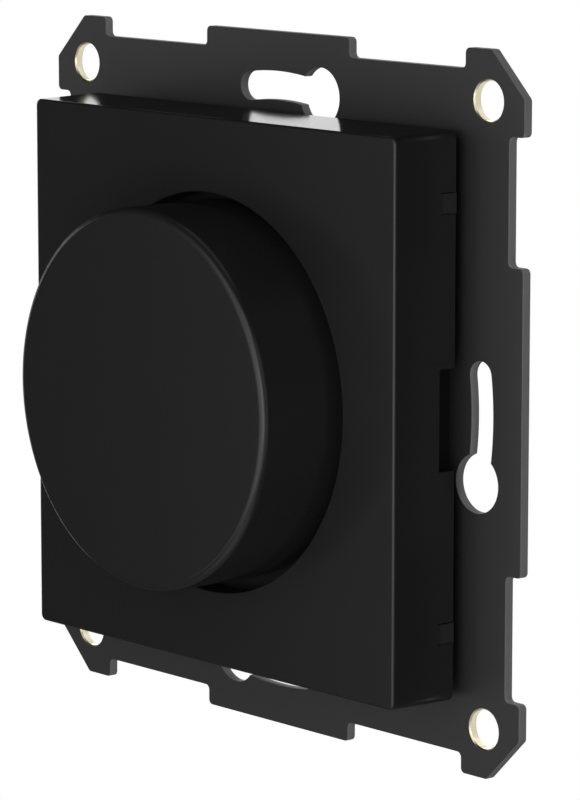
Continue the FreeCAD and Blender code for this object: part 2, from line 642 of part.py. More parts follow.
raised(base, "board_posts", plate_front, f"{board_rear} - {plate_front}",
       *four_corners(circle, board_fix_x, board_fix_z, "post_radius"))
sunk(base, "board_pilots", board_rear, "board_screw_bite + 2 * hole_play",
     circle(board_fix_x, f"-{board_fix_z}", "board_screw_shank / 2 + running_fit"),
     circle(f"-{board_fix_x}", board_fix_z, "board_screw_shank / 2 + running_fit"))
raised(base, "locating_pins", board_rear, "board_thickness + hole_play",
       circle(board_fix_x, board_fix_z, "locating_pin"),
       circle(f"-{board_fix_x}", f"-{board_fix_z}", "locating_pin"))
sunk(base, "setup_opening", tray_floor, "base_wall", circle(setup_x, setup_z, "setup_hole / 2"))
sunk(base, "lamp_opening", tray_floor, "base_wall", circle(led_x, setup_z, "led_hole / 2"))

# Plate screws: countersunk from behind, so that the wall face stays flat.
plate_screws = new_body("plate_screws")
head_depth = "(screw_head - screw_shank) / 2"
raised(plate_screws, "heads", "screw_sink", head_depth,
       *four_corners(circle, screw_out, "screw_shift", "screw_head / 2"))
eased(plate_screws, "head_cones", "Chamfer", f"{head_depth} - screw_sink",
      lambda edge: ring_at(edge, f"screw_sink + {head_depth}", "screw_head / 2"))
raised(plate_screws, "shanks", "2 * screw_sink", "screw_length - 2 * screw_sink",
       *four_corners(circle, screw_out, "screw_shift", "screw_shank / 2"))
sunk(plate_screws, "drives", "screw_sink + drive_depth", "drive_depth",
     *four_corners(cross, screw_out, "screw_shift", "drive_size", "drive_slot"))

# Front cover: the square insert with the knob's sunken well and the snap tongues.
cover = new_body("front_cover")
raised(cover, "block", cover_rear, f"{cover_front} - {cover_rear}",
       rectangle("0", "0", "cover_width", "cover_height"))
eased(cover, "upright_corners", "Fillet", "cover_corner", runs_through)
eased(cover, "front_edge", "Fillet", "cover_edge", lambda edge: lies_at(edge, cover_front))
hollow_width = "(cover_width - 2 * cover_wall)"
hollow_height = "(cover_height - 2 * cover_wall)"
sunk(cover, "hollow", cover_inside, f"{cover_inside} - {cover_rear}",
     rounded_rectangle(hollow_width, hollow_height, "(base_corner + cover_clearance)"))
raised(cover, "collar", dish_rear, f"{cover_inside} - {dish_rear}", circle("0", "0", collar_radius))
brace_length = f"(({hollow_width} - 2 * cover_clearance) / 2 * sqrt(2) - base_wall - post_radius)"
brace = raised(cover, "brace", f"{cover_inside} - brace_height", "brace_height",
               polygon([(f"{reach} * cos(45) - {side} * brace_width / 2 * sin(45)",
                         f"{reach} * sin(45) + {side} * brace_width / 2 * cos(45)")
                        for reach, side in ((well_radius, -1), (brace_length, -1),
                                            (brace_length, 1), (well_radius, 1))]))
round_pattern(cover, "braces", [brace], "4")
sunk(cover, "well", cover_front, f"{cover_front} - {dish_front}", circle("0", "0", well_radius))
shaft_opening = "((encoder_width / 2 + leg_thickness + hole_play) * sqrt(2) + hole_play)"
sunk(cover, "encoder_opening", dish_front, "well_floor", circle("0", "0", shaft_opening))
half_cover = "cover_width / 2"
sunk(cover, "pry_notches", half_cover, "cover_width",
     polygon([(f"-{notch_front}", "-pry_width / 2"), (f"-{cover_rear}", "-pry_width / 2"),
              (f"-{cover_rear}", "pry_width / 2"), (f"-{notch_front}", "pry_width / 2")]), plane="YZ_Plane")
slits = []
for level in (1, -1):
    for side in (1, -1):
        middle = f"{level} * tongue_offset + {side} * (tongue_width + tongue_slit) / 2"
        slits.append(polygon([(f"-{notch_front}", f"{middle} - tongue_slit / 2"),
                              (f"-{cover_rear}", f"{middle} - tongue_slit / 2"),
                              (f"-{cover_rear}", f"{middle} + tongue_slit / 2"),
                              (f"-{notch_front}", f"{middle} + tongue_slit / 2")]))
sunk(cover, "slits", half_cover, "cover_width", *slits, plane="YZ_Plane")
outer, inner = "cover_width / 2", f"{hollow_width} / 2"
barb_tip = f"({cover_rear} + barb_length)"
tongue_foot = "tongue_offset - tongue_width / 2"
wedges = []
for side in (1, -1):
    wedges.append(polygon([(f"{side} * {outer}", f"-{notch_front}"), (f"{side} * {outer}", f"-{cover_rear}"),
                           (f"{side} * ({outer} + tongue_rise)", f"-{cover_rear}")]))
    wedges.append(polygon([(f"{side} * {inner}", f"-{cover_rear}"), (f"{side} * {inner}", f"-{barb_tip}"),
                           (f"{side} * ({inner} - barb_reach)", f"-{barb_tip}")]))
tongues = raised(cover, "tongue_wedges", tongue_foot, "tongue_width", *wedges, plane="XY_Plane")
mirrored(cover, "all_tongue_wedges", [tongues], "XY_Plane")

# Knob: a cup with a drafted skirt, a hub that grips the shaft and ribs between them.
knob = new_body("knob_cap")
turned(knob, "cup", [("0", knob_front), ("knob_diameter / 2", knob_front), (knob_rear_radius, knob_rear),
                     (f"{knob_rear_radius} - knob_wall", knob_rear),
                     ("knob_diameter / 2 - knob_wall", knob_inside), ("0", knob_inside)])
eased(knob, "front_round", "Fillet", "knob_edge", lambda edge: ring_at(edge, knob_front, "knob_diameter / 2"))
hub_radius = "(shaft_diameter / 2 + hub_wall)"
raised(knob, "hub", hub_rear, f"{knob_inside} - {hub_rear}", circle("0", "0", hub_radius))
rib = raised(knob, "rib", f"{knob_inside} - rib_height", "rib_height",
             rectangle(f"({hub_radius} + knob_diameter / 2 - knob_wall) / 2", "0",
                       f"knob_diameter / 2 - knob_wall - {hub_radius} + hub_wall / 2", "rib_thickness"))
round_pattern(knob, "ribs", [rib], "rib_count")
sunk(knob, "shaft_bore", bore_end, f"{bore_end} - {hub_rear}",
     round_with_flat("shaft_diameter / 2 + shaft_fit", "shaft_flat + grip_thickness + running_fit"))

# Leaf spring: takes up the play between the shaft's flat and the hub.
leaf = new_body("knob_grip_spring")
raised(leaf, "leaf", f"{hub_rear} + hole_play", "hub_grip - hole_play",
       rectangle("0", "shaft_flat + (grip_thickness + running_fit) / 2", "grip_width", "grip_thickness"))

# Encoder shaft: turns the rotor through its flat and slides in it to push the dome.
shaft = new_body("encoder_shaft")
turned(shaft, "stem", [("0", plunger_tip), ("plunger_diameter / 2", plunger_tip),
                       ("plunger_diameter / 2", f"{rotor_rear} + running_fit"),
                       ("spindle_diameter / 2", f"{rotor_rear} + running_fit"),
                       ("spindle_diameter / 2", collar_rear),
                       (collar_edge, collar_rear), (collar_edge, collar_front),
                       ("shaft_diameter / 2", collar_front), ("shaft_diameter / 2", shaft_end),
                       ("0", shaft_end)])
flat_height = "(shaft_diameter / 2 - shaft_flat)"
sunk(shaft, "outer_flat", f"{shaft_end} + hole_play", f"{shaft_end} + hole_play - {flat_start}",
     rectangle("0", f"(shaft_flat + {flat_height})", "shaft_diameter", f"2 * {flat_height}"))
spindle_cut = "(spindle_diameter / 2 - spindle_flat)"
sunk(shaft, "inner_flat", collar_rear, f"{collar_rear} - {rotor_rear}",
     rectangle("0", f"(spindle_flat + {spindle_cut})", "spindle_diameter", f"2 * {spindle_cut}"))
eased(shaft, "lead_in", "Chamfer", "2 * hole_play",
      lambda edge: ring_at(edge, shaft_end, "shaft_diameter / 2"))

# Encoder rotor: a disc with detent teeth, turned by the shaft.
rotor = new_body("encoder_rotor")
raised(rotor, "disc", rotor_rear, "rotor_web", circle("0", "0", rotor_radius),
       round_with_flat("spindle_diameter / 2 + running_fit", "spindle_flat + running_fit"))
tooth = raised(rotor, "tooth", web_front, "tooth_height",
               rectangle(f"({tooth_root} + tooth_depth / 2)", "0", "tooth_depth", "tooth_width"))
round_pattern(rotor, "teeth", [tooth], "tooth_count")

# Encoder body: holds the dome and the rotor.
encoder = new_body("encoder_base")
raised(encoder, "block", board_front, f"{rim_front} - {board_front}",
       rectangle("0", "0", "encoder_width", "encoder_width"))
sunk(encoder, "rotor_seat", rim_front, f"{rim_front} - {rotor_ledge}",
     circle("0", "0", f"{rotor_radius} + running_fit"))
sunk(encoder, "dome_seat", rotor_ledge, f"{rotor_ledge} - {cavity_floor}",
     circle("0", "0", f"{tooth_root} + running_fit"))

# Snap dome: clicks when the shaft pushes it flat.
dome = new_body("push_dome")
dome_top = f"({cavity_floor} + press_travel)"
turned(dome, "shell", [("0", dome_top), ("dome_diameter / 8", dome_top), ("dome_diameter / 2", cavity_floor),
                       ("dome_diameter / 2 - 2 * dome_thickness", cavity_floor),
                       ("dome_diameter / 8", f"{dome_top} - dome_thickness"),
                       ("0", f"{dome_top} - dome_thickness")])

# Detent spring: a flat ring between the body and the frame, with two fingers that drop between teeth.
detent = new_body("detent_spring")
raised(detent, "ring", rim_front, "detent_thickness", circle("0", "0", "encoder_width / 2 - running_fit"),
       circle("0", "0", tooth_root))
half_pitch = "(180 / tooth_count)"
finger_tip = f"({tooth_front} - tooth_height / 2)"
finger_sketch = polygon([("-detent_tip / 2", f"-{rim_front}"), ("detent_tip / 2", f"-{rim_front}"),
                         ("0", f"-{finger_tip}")])
finger = raised(detent, "finger", tooth_root, "tooth_depth", finger_sketch, plane="XY_Plane")
round_pattern(detent, "fingers", [finger], "2")
detent.setExpression(".Placement.Rotation.Angle", full(half_pitch))
detent.Placement.Rotation.Axis = FreeCAD.Vector(0, 1, 0)
doc.recompute()

# Encoder frame: folded steel over the body, with lugs through the board.
frame = new_body("encoder_frame")
spigot_radius = "(shaft_diameter / 2 + shaft_fit + bush_wall + bush_flange_reach / 2)"
frame_width = "(encoder_width + 2 * (running_fit + leg_thickness))"
leg_middle = "(encoder_width / 2 + running_fit + leg_thickness / 2)"
raised(frame, "front_wall", frame_rear, "frame_thickness",
       rectangle("0", "0", frame_width, "encoder_width"), circle("0", "0", spigot_radius))
raised(frame, "legs", board_front, f"{frame_rear} - {board_front}",
       rectangle(leg_middle, "0", "leg_thickness", "leg_width"),
       rectangle(f"-{leg_middle}", "0", "leg_thickness", "leg_width"))
raised(frame, "lugs", f"{board_rear} - pin_stub", "board_thickness + pin_stub",
       rectangle(leg_middle, "0", "leg_thickness", "lug_width"),
       rectangle(f"-{leg_middle}", "0", "leg_thickness", "lug_width"))

# Shaft bush: the bearing of the shaft, riveted in the frame.
bearing = new_body("shaft_bush")
bore = "(shaft_diameter / 2 + shaft_fit)"
tube = f"({bore} + bush_wall)"
turned(bearing, "bush", [(bore, frame_rear), (f"{spigot_radius} - running_fit", frame_rear),
                         (f"{spigot_radius} - running_fit", frame_front),
                         (f"{tube} + bush_flange_reach", frame_front),
                         (f"{tube} + bush_flange_reach", f"{frame_front} + bush_flange"),
                         (tube, f"{frame_front} + bush_flange"), (tube, bush_front), (bore, bush_front)])

# Contact pins of the encoder: three for the turn, two for the push.
pins = new_body("encoder_pins")
pin_places = [(f"{step} * pin_pitch", "-pin_row") for step in (-1, 0, 1)]
pin_places += [(f"{step} * pin_pitch", "pin_row") for step in (-1, 1)]
raised(pins, "pins", f"{board_rear} - pin_stub", "board_thickness + pin_stub",
       *[rectangle(across, up, "pin_width", "pin_thickness") for across, up in pin_places])

# Circuit board.
board = new_body("main_board")
pin_hole = "pin_width / 2 + hole_play"
raised(board, "board", board_rear, "board_thickness",
       rounded_rectangle(board_width, board_height, "base_corner / 2"))
sunk(board, "fixing_holes", board_front, "board_thickness",
     *four_corners(circle, board_fix_x, board_fix_z, "board_screw_shank / 2 + hole_play"))
sunk(board, "pin_holes", board_front, "board_thickness",
     *[circle(across, up, pin_hole) for across, up in pin_places])
sunk(board, "lug_slots", board_front, "board_thickness",
     rectangle(leg_middle, "0", "leg_thickness + 2 * hole_play", "lug_width + 2 * hole_play"),
     rectangle(f"-{leg_middle}", "0", "leg_thickness + 2 * hole_play", "lug_width + 2 * hole_play"))

# Board screws: two, at opposite corners.
board_screws = new_body("board_screws")
cap = raised(board_screws, "cap", board_front, "board_screw_cap",
             circle(board_fix_x, f"-{board_fix_z}", "board_screw_head / 2"))
stem = raised(board_screws, "stem", f"{board_rear} - board_screw_bite",
              "board_screw_bite + board_thickness + running_fit",
              circle(board_fix_x, f"-{board_fix_z}", "board_screw_shank / 2"))
recess = sunk(board_screws, "recess", f"{board_front} + board_screw_cap", "drive_depth",
              cross(board_fix_x, f"-{board_fix_z}", "drive_size", "drive_slot"))
round_pattern(board_screws, "pair", [cap, stem, recess], "2")

# Parts soldered to the rear of the board.
module = new_body("radio_module")
raised(module, "carrier", f"{board_rear} - module_thickness", "module_thickness",
       rectangle("0", "0", "module_width", "module_height"))
shift(module, module_x, module_z)

shield = new_body("radio_shield")
shield_front = f"({board_rear} - module_thickness)"
raised(shield, "can", f"{shield_front} - shield_height", "shield_height",
       rounded_rectangle("(module_width - 2 * shield_inset)", "(module_height - 2 * shield_inset)",
                         "shield_corner"))
eased(shield, "can_edge", "Fillet", "shield_corner / 2",
      lambda edge: lies_at(edge, f"{shield_front} - shield_height"))
shift(shield, module_x, module_z)


def chip_on_board(name, width, height, thickness, across, up):
    body = new_body(name)
    raised(body, "block", f"{board_rear} - ({thickness})", thickness, rectangle("0", "0", width, height))
    shift(body, across, up)
    return body


chip_on_board("chip_antenna", "antenna_width", "antenna_height", "antenna_thickness", antenna_x, module_z)
chip_on_board("status_led", "led_width", "led_height", "led_thickness", led_x, setup_z)
coil = chip_on_board("power_coil", "coil_size", "coil_size", "coil_height", coil_x, "coil_z")
eased(coil, "coil_corners", "Fillet", "coil_size / 5", runs_through)
chip_on_board("power_chip", "chip_size", "chip_size", "chip_height", coil_x, "chip_z")

capacitors = new_body("board_capacitors")
capacitor_steps = range(int(number_of("capacitor_count")))
capacitor_places = [f"({capacitor_z} + {step} * capacitor_pitch)" for step in capacitor_steps]
raised(capacitors, "blocks", f"{board_rear} - capacitor_thickness", "capacitor_thickness",
       *[rectangle(capacitor_x, up, "capacitor_width", "capacitor_height") for up in capacitor_places])

# Setup button: pushed through a hole in the base, from behind.
setup_rear = f"({board_rear} - setup_body)"
switch = new_body("setup_switch")
raised(switch, "case", setup_rear, "setup_body", rectangle("0", "0", "setup_width", "setup_width"))
guide_depth = "(setup_engagement + setup_travel + hole_play)"
sunk(switch, "guide", f"{setup_rear} + {guide_depth}", guide_depth,
     circle("0", "0", "setup_plunger_diameter / 2 + running_fit"))
shift(switch, setup_x, setup_z)

plunger = new_body("setup_plunger")
plunger_rear = f"({tray_rear} + setup_recess)"
raised(plunger, "stem", plunger_rear, f"{setup_rear} + setup_engagement - {plunger_rear}",
       circle("0", "0", "setup_plunger_diameter / 2"))
eased(plunger, "tip", "Chamfer", "hole_play", lambda edge: lies_at(edge, plunger_rear))
shift(plunger, setup_x, setup_z)

# Coin cell: the can faces the wall and the smaller cap faces the board.
cell = new_body("coin_cell")
turned(cell, "shell", [("0", cell_rear), (f"{cell_radius} - cell_edge", cell_rear),
                       (cell_radius, f"{cell_rear} + cell_edge"), (cell_radius, f"{can_front} - cell_edge"),
                       (f"{cell_radius} - cell_edge", can_front), ("cell_cap / 2", can_front),
                       ("cell_cap / 2 - cell_step", cell_front), ("0", cell_front)])
shift(cell, "0", "-cell_drop")

# Battery contacts: bent strips soldered to the board.
negative = new_body("negative_contact")
foot, bend = "contact_foot / 2", "contact_reach"
toe = "(contact_reach + contact_toe)"
low_level = f"({cell_front} + running_fit)"
toe_level = f"({low_level} + contact_toe / 3)"
strip = [(toe, toe_level), (bend, low_level), (foot, f"({board_rear} - contact_thickness)")]
upper = [(across, f"({level} + contact_thickness)") for across, level in strip]
path = [(f"-{across}", level) for across, level in strip] + list(reversed(strip))
path += upper + [(f"-{across}", level) for across, level in reversed(upper)]
raised(negative, "strip", "-contact_width / 2", "contact_width",
       polygon([(across, f"-{level}") for across, level in path]), plane="XY_Plane")
shift(negative, "0", "-(cell_drop + contact_drop)")

positive = new_body("positive_contact")
rim_face = f"({cell_radius} + running_fit)"
leg_low = f"({tray_floor} + hole_play)"
leg_out = f"({rim_face} + contact_thickness)"
foot_out = f"({rim_face} + rim_foot)"
foot_low = f"({board_rear} - contact_thickness)"
raised(positive, "strip", "-contact_width / 2", "contact_width",
       polygon([(rim_face, f"-{leg_low}"), (leg_out, f"-{leg_low}"), (leg_out, f"-{foot_low}"),
                (foot_out, f"-{foot_low}"), (foot_out, f"-{board_rear}"), (rim_face, f"-{board_rear}")]),
       plane="XY_Plane")
shift(positive, "0", "-cell_drop")

doc.recompute()
for item in doc.Objects:
    if "Invalid" in item.State or "Error" in item.State:
        raise ValueError(f"{item.Label} has not been made: {item.State}")

os.makedirs("parts", exist_ok=True)
for body in [item for item in doc.Objects if item.isDerivedFrom("PartDesign::Body")]:
    if body.Shape.isNull() or not body.Shape.isValid():
        raise ValueError(f"{body.Label} is not a valid shape")
    body.Shape.exportStep(f"parts/{body.Label}.step")
    box = body.Shape.BoundBox
    print(f"{body.Label}: {len(body.Shape.Solids)} solid(s), {body.Shape.Volume:.1f} mm3, "
          f"{box.XLength:.2f} x {box.YLength:.2f} x {box.ZLength:.2f}")
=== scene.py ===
import math
import bmesh
import bpy
from mathutils import Matrix, Vector


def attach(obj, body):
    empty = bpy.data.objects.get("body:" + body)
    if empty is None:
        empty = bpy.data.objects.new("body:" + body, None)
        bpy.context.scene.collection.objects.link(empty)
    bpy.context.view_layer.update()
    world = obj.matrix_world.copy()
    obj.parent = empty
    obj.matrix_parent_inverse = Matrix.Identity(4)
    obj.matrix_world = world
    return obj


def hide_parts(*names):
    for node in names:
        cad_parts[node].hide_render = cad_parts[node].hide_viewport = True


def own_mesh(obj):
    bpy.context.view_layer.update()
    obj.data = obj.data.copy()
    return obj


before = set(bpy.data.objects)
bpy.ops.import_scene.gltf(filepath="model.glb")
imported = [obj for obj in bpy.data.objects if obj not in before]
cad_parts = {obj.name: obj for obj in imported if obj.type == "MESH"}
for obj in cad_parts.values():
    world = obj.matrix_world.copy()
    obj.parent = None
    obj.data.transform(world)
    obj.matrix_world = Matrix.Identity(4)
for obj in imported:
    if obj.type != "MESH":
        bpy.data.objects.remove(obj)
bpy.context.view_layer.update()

print("frame loaded:", len(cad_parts), "nodes")

# Lengths are in millimetres and angles in degrees. Depth is counted from the wall towards the room.
mm = 0.001


# Camera
shot = {
    "azimuth": 48.802,          # round to the right of the front
    "elevation": 9.287,
    "distance": 417.5,          # from the point it looks at
    "target": (0.871, 0.0, -1.894),
    "lens": 185.484,
    "sensor": 36.0,
    "clip": (0.01, 20),         # metres
}


def around(azimuth, elevation):
    turn, lift = math.radians(azimuth), math.radians(elevation)
    return Vector((math.sin(turn) * math.cos(lift), -math.cos(turn) * math.cos(lift), math.sin(lift)))


def setCamera():
    lens = bpy.data.cameras.new("camera")
    lens.lens, lens.sensor_width = shot["lens"], shot["sensor"]
    lens.clip_start, lens.clip_end = shot["clip"]
    camera = bpy.data.objects.new("camera", lens)
    bpy.context.scene.collection.objects.link(camera)
    back = around(shot["azimuth"], shot["elevation"])
    camera.location = (Vector(shot["target"]) + back * shot["distance"]) * mm
    camera.rotation_mode = "QUATERNION"
    camera.rotation_quaternion = (-back).to_track_quat("-Z", "Y")
    bpy.context.scene.camera = camera


setCamera()
print("camera set")


# Shader maths: a socket that adds nodes when it is used in a sum
class Wire:
    def __init__(self, tree, socket=None):
        self.tree, self.socket = tree, socket

    def make(self, kind, settings=None, values=None, out=0):
        node = self.tree.nodes.new("ShaderNode" + kind)
        for name, value in (settings or {}).items():
            setattr(node, name, value)
        for name, value in (values or {}).items():
            if isinstance(value, Wire):
                self.tree.links.new(value.socket, node.inputs[name])
            else:
                node.inputs[name].default_value = value
        return Wire(self.tree, node.outputs[out] if node.outputs else None)

    def sum(self, operation, first, second):
        return self.make("Math", {"operation": operation}, {0: first, 1: second})

    def __add__(self, other):
        return self.sum("ADD", self, other)

    def __radd__(self, other):
        return self.sum("ADD", other, self)

    def __sub__(self, other):
        return self.sum("SUBTRACT", self, other)

    def __rsub__(self, other):
        return self.sum("SUBTRACT", other, self)

    def __mul__(self, other):
        return self.sum("MULTIPLY", self, other)

    def __rmul__(self, other):
        return self.sum("MULTIPLY", other, self)

    def size(self):
        return self.make("Math", {"operation": "ABSOLUTE"}, {0: self})

    def over(self, low, high):      # 0 below low, 1 above high
        return self.make("MapRange", {"clamp": True}, {"Value": self, "From Min": low, "From Max": high})


def startFinish(name):
    finish = bpy.data.materials.new(name)
    finish.use_nodes = True
    finish.node_tree.nodes.clear()
    return finish, Wire(finish.node_tree)


def endFinish(finish, wire, values, gloss=None):      # gloss: the share of the surface that shines
    shader = wire.make("BsdfPrincipled", {}, values)
    if gloss is not None:
        dull = wire.make("BsdfPrincipled", {}, {**values, "Specular IOR Level": 0.0})
        shader = wire.make("MixShader", {}, {0: gloss, 1: dull, 2: shader})
    wire.make("OutputMaterial", {}, {"Surface": shader})
    return finish


def axis(wire, which):      # the part's own coordinate in millimetres
    place = wire.make("TexCoord", {}, {}, "Object")
    return wire.make("SeparateXYZ", {}, {0: place}, which) * (1 / mm)


fineDetail = 3.0      # octaves of noise in the finest grains, where the others have two


def grain(wire, size, detail=2.0, stretch=(1, 1, 1)):      # noise with features of that size
    place = wire.make("TexCoord", {}, {}, "Object")
    if stretch != (1, 1, 1):
        place = wire.make("VectorMath", {"operation": "MULTIPLY"}, {0: place, 1: stretch})
    return wire.make("TexNoise", {}, {"Vector": place, "Scale": 1 / (size * mm), "Detail": detail}, "Fac")


def tint(wire, share, low, high):      # from one colour to the other
    return wire.make("Mix", {"data_type": "RGBA"}, {0: share, 6: (*low, 1), 7: (*high, 1)}, 2)


def relief(wire, height, reach):      # bump of that height in millimetres
    return wire.make("Bump", {}, {"Height": height, "Distance": reach * mm})


# Finishes
moulding = {
    "low": (0.0190, 0.0190, 0.0194), "high": (0.0210, 0.0210, 0.0214),
    "cloud": 6.0, "spark": 0.16, "fine": 0.07,                       # feature sizes
    "sparkShare": 0.65,                                              # the rest is the fine grain
    "rough": 0.24, "roughPlay": 0.06, "relief": 0.001,
    "slant": (0.65, 0.84), "slantSharp": 0.10,                       # seen aslant it mirrors more sharply
    "ior": 1.6, "specular": 1.0, "gloss": 0.40, "glossPlay": 0.25,   # the grain's flat tops shine
    "paintedTongueLight": (0.031, 0.031, 0.0315),                                # painted light: the snap tongues' outer faces drawn lighter, as their tilt catches the front light
    "paintedLightSoft": 0.25, "paintedLightShort": 0.15,                               # short of the slits' ends
    "paintedLightSkin": (0.15, 0.05),                                         # in from the cover's side
}


def paintedTongueLightMask(wire):      # where the painted light goes: the outer faces of the cover's snap tongues
    soft, half, end = moulding["paintedLightSoft"], cover["tongueWidth"] / 2, cover["notch"] - moulding["paintedLightShort"]
    level = (axis(wire, "Z") + cover["drop"]).size() - cover["tongue"]
    band = 1 - level.size().over(half - soft, half)
    rear = 1 - (0 - axis(wire, "Y")).over(end - soft, end)
    skin = [cover["across"] - reach for reach in moulding["paintedLightSkin"]]
    return band * rear * axis(wire, "X").size().over(*skin)


def mattMoulding():
    finish, wire = startFinish("mattMoulding")
    cloud = grain(wire, moulding["cloud"])
    share = moulding["sparkShare"]
    spark = grain(wire, moulding["spark"], fineDetail) * share
    spark = spark + grain(wire, moulding["fine"], 1.0) * (1 - share)
    flat = tint(wire, cloud, moulding["low"], moulding["high"])
    slant = wire.make("LayerWeight", {}, {"Blend": 0.5}, "Facing").over(*moulding["slant"])
    sharper = slant * moulding["slantSharp"]
    return endFinish(finish, wire, {
        # painted light: the snap tongues get a lighter base colour
        "Base Color": wire.make("Mix", {"data_type": "RGBA"},
                                {0: paintedTongueLightMask(wire), 6: flat, 7: (*moulding["paintedTongueLight"], 1)}, 2),
        "Roughness": (spark - 0.5) * moulding["roughPlay"] + moulding["rough"] - sharper,
        "IOR": moulding["ior"],
        "Specular IOR Level": moulding["specular"],
        "Normal": relief(wire, spark, moulding["relief"]),
    }, (spark - 0.5) * moulding["glossPlay"] + moulding["gloss"])


coating = {
    "low": (0.0285, 0.0285, 0.0291), "high": (0.0315, 0.0315, 0.0321),
    "edge": (0.30, 0.30, 0.30), "edgeRough": 0.3,    # the plate's edge faces, turned away from the room, are drawn lighter grey and rougher
    "sheared": (0.35, 0.65),                         # how far a surface faces the room: an edge, a face
    "cloud": 9.0, "peel": 0.55, "dust": 0.12,        # feature sizes
    "peelShare": 0.7,                                # the rest is dust
    "rough": 0.40, "roughPlay": 0.08, "relief": 0.002, "specular": 1.0,
}


def powderCoat():
    finish, wire = startFinish("powderCoat")
    cloud = grain(wire, coating["cloud"])
    share = coating["peelShare"]
    peel = grain(wire, coating["peel"]) * share + grain(wire, coating["dust"]) * (1 - share)
    facing = wire.make("SeparateXYZ", {}, {0: wire.make("NewGeometry", {}, {}, "Normal")}, 1)
    edge = 1 - facing.size().over(*coating["sheared"])
    flat = tint(wire, cloud, coating["low"], coating["high"])
    colour = wire.make("Mix", {"data_type": "RGBA"}, {0: edge, 6: flat, 7: (*coating["edge"], 1)}, 2)
    return endFinish(finish, wire, {
        "Base Color": colour,
        "Roughness": (peel - 0.5) * coating["roughPlay"] + edge * coating["edgeRough"] + coating["rough"],
        "Specular IOR Level": coating["specular"],
        "Normal": relief(wire, peel, coating["relief"]),
    })


markRange = (0.3, 0.7)      # the stretch of the noise in which one colour turns into the other


def metalFinish(name, look):
    finish, wire = startFinish(name)
    marks = grain(wire, look["size"], fineDetail, look["stretch"])
    return endFinish(finish, wire, {
        "Base Color": tint(wire, marks.over(*markRange), look["low"], look["high"]),
        "Metallic": 1.0,
        "Roughness": (marks - 0.5) * look["roughPlay"] + look["rough"],
        "Normal": relief(wire, marks, look["relief"]),
    })


def plasticFinish(name, look):
    finish, wire = startFinish(name)
    marks = grain(wire, look["size"])
    return endFinish(finish, wire, {
        "Base Color": tint(wire, marks.over(*markRange), look["low"], look["high"]),
        "Roughness": (marks - 0.5) * look["roughPlay"] + look["rough"],
        "Specular IOR Level": look["specular"],
        "Normal": relief(wire, marks, look["relief"]),
    })


metals = {
    "turnedBrass": {"low": (0.82, 0.73, 0.48), "high": (0.96, 0.91, 0.72), "rough": 0.30, "roughPlay": 0.16,
                    "size": 0.4, "stretch": (0.25, 6, 0.25), "relief": 0.003},
    "zincPlate": {"low": (0.50, 0.51, 0.54), "high": (0.66, 0.66, 0.66), "rough": 0.34, "roughPlay": 0.16,
                  "size": 0.5, "stretch": (1, 1, 1), "relief": 0.003},
    "springSteel": {"low": (0.48, 0.48, 0.49), "high": (0.60, 0.60, 0.61), "rough": 0.28, "roughPlay": 0.14,
                    "size": 0.2, "stretch": (1, 1, 0.1), "relief": 0.002},
    "turnedNickel": {"low": (0.58, 0.58, 0.58), "high": (0.70, 0.69, 0.67), "rough": 0.26, "roughPlay": 0.12,
                     "size": 0.3, "stretch": (0.2, 5, 0.2), "relief": 0.003},
    "tinnedBronze": {"low": (0.62, 0.60, 0.54), "high": (0.76, 0.74, 0.70), "rough": 0.30, "roughPlay": 0.12,
                     "size": 0.3, "stretch": (1, 1, 1), "relief": 0.002},
    "cellSteel": {"low": (0.58, 0.58, 0.57), "high": (0.70, 0.70, 0.69), "rough": 0.27, "roughPlay": 0.14,
                  "size": 0.25, "stretch": (0.06, 1, 1), "relief": 0.002},
}
plastics = {
    # painted shade: the base housing's black plastic is darker than the cover's, so its walls seen in the
    # notch and slits look unlit
    "shadeDarkMoulding": {"low": (0.008, 0.008, 0.008), "high": (0.012, 0.012, 0.012), "rough": 0.55,
                     "roughPlay": 0.10, "size": 0.16, "relief": 0.003, "specular": 0.25},
    "encoderPlastic": {"low": (0.030, 0.030, 0.033), "high": (0.045, 0.045, 0.048), "rough": 0.42,
                       "roughPlay": 0.10, "size": 0.25, "relief": 0.003, "specular": 0.5},
    "paleCeramic": {"low": (0.46, 0.36, 0.26), "high": (0.58, 0.48, 0.37), "rough": 0.45, "roughPlay": 0.10,
                    "size": 0.3, "relief": 0.002, "specular": 0.5},
    "lampLens": {"low": (0.80, 0.80, 0.73), "high": (0.88, 0.88, 0.83), "rough": 0.22, "roughPlay": 0.06,
                 "size": 0.4, "relief": 0.001, "specular": 0.5},
    "darkFerrite": {"low": (0.040, 0.040, 0.043), "high": (0.060, 0.060, 0.063), "rough": 0.50,
                    "roughPlay": 0.12, "size": 0.15, "relief": 0.004, "specular": 0.45},
    "palePlastic": {"low": (0.68, 0.68, 0.66), "high": (0.77, 0.77, 0.75), "rough": 0.35, "roughPlay": 0.08,
                    "size": 0.25, "relief": 0.002, "specular": 0.5},
}
boardMask = {
    "mask": (0.010, 0.085, 0.040), "track": (0.018, 0.150, 0.070),
    "rough": 0.26, "roughPlay": 0.08, "mottle": 0.4,
    "pitch": 1.6, "trackWidth": 0.16, "trackCore": 0.6, "relief": 0.02,
}


def solderMask():
    finish, wire = startFinish("solderMask")
    place = wire.make("TexCoord", {}, {}, "Object")
    gap = wire.make("TexVoronoi", {"feature": "DISTANCE_TO_EDGE"},
                    {"Vector": place, "Scale": 1 / (boardMask["pitch"] * mm)}, "Distance")
    width = boardMask["trackWidth"]
    track = 1 - gap.over(width * boardMask["trackCore"], width)
    return endFinish(finish, wire, {
        "Base Color": tint(wire, track, boardMask["mask"], boardMask["track"]),
        "Roughness": (grain(wire, boardMask["mottle"]) - 0.5) * boardMask["roughPlay"] + boardMask["rough"],
        "Normal": relief(wire, track, boardMask["relief"]),
    })


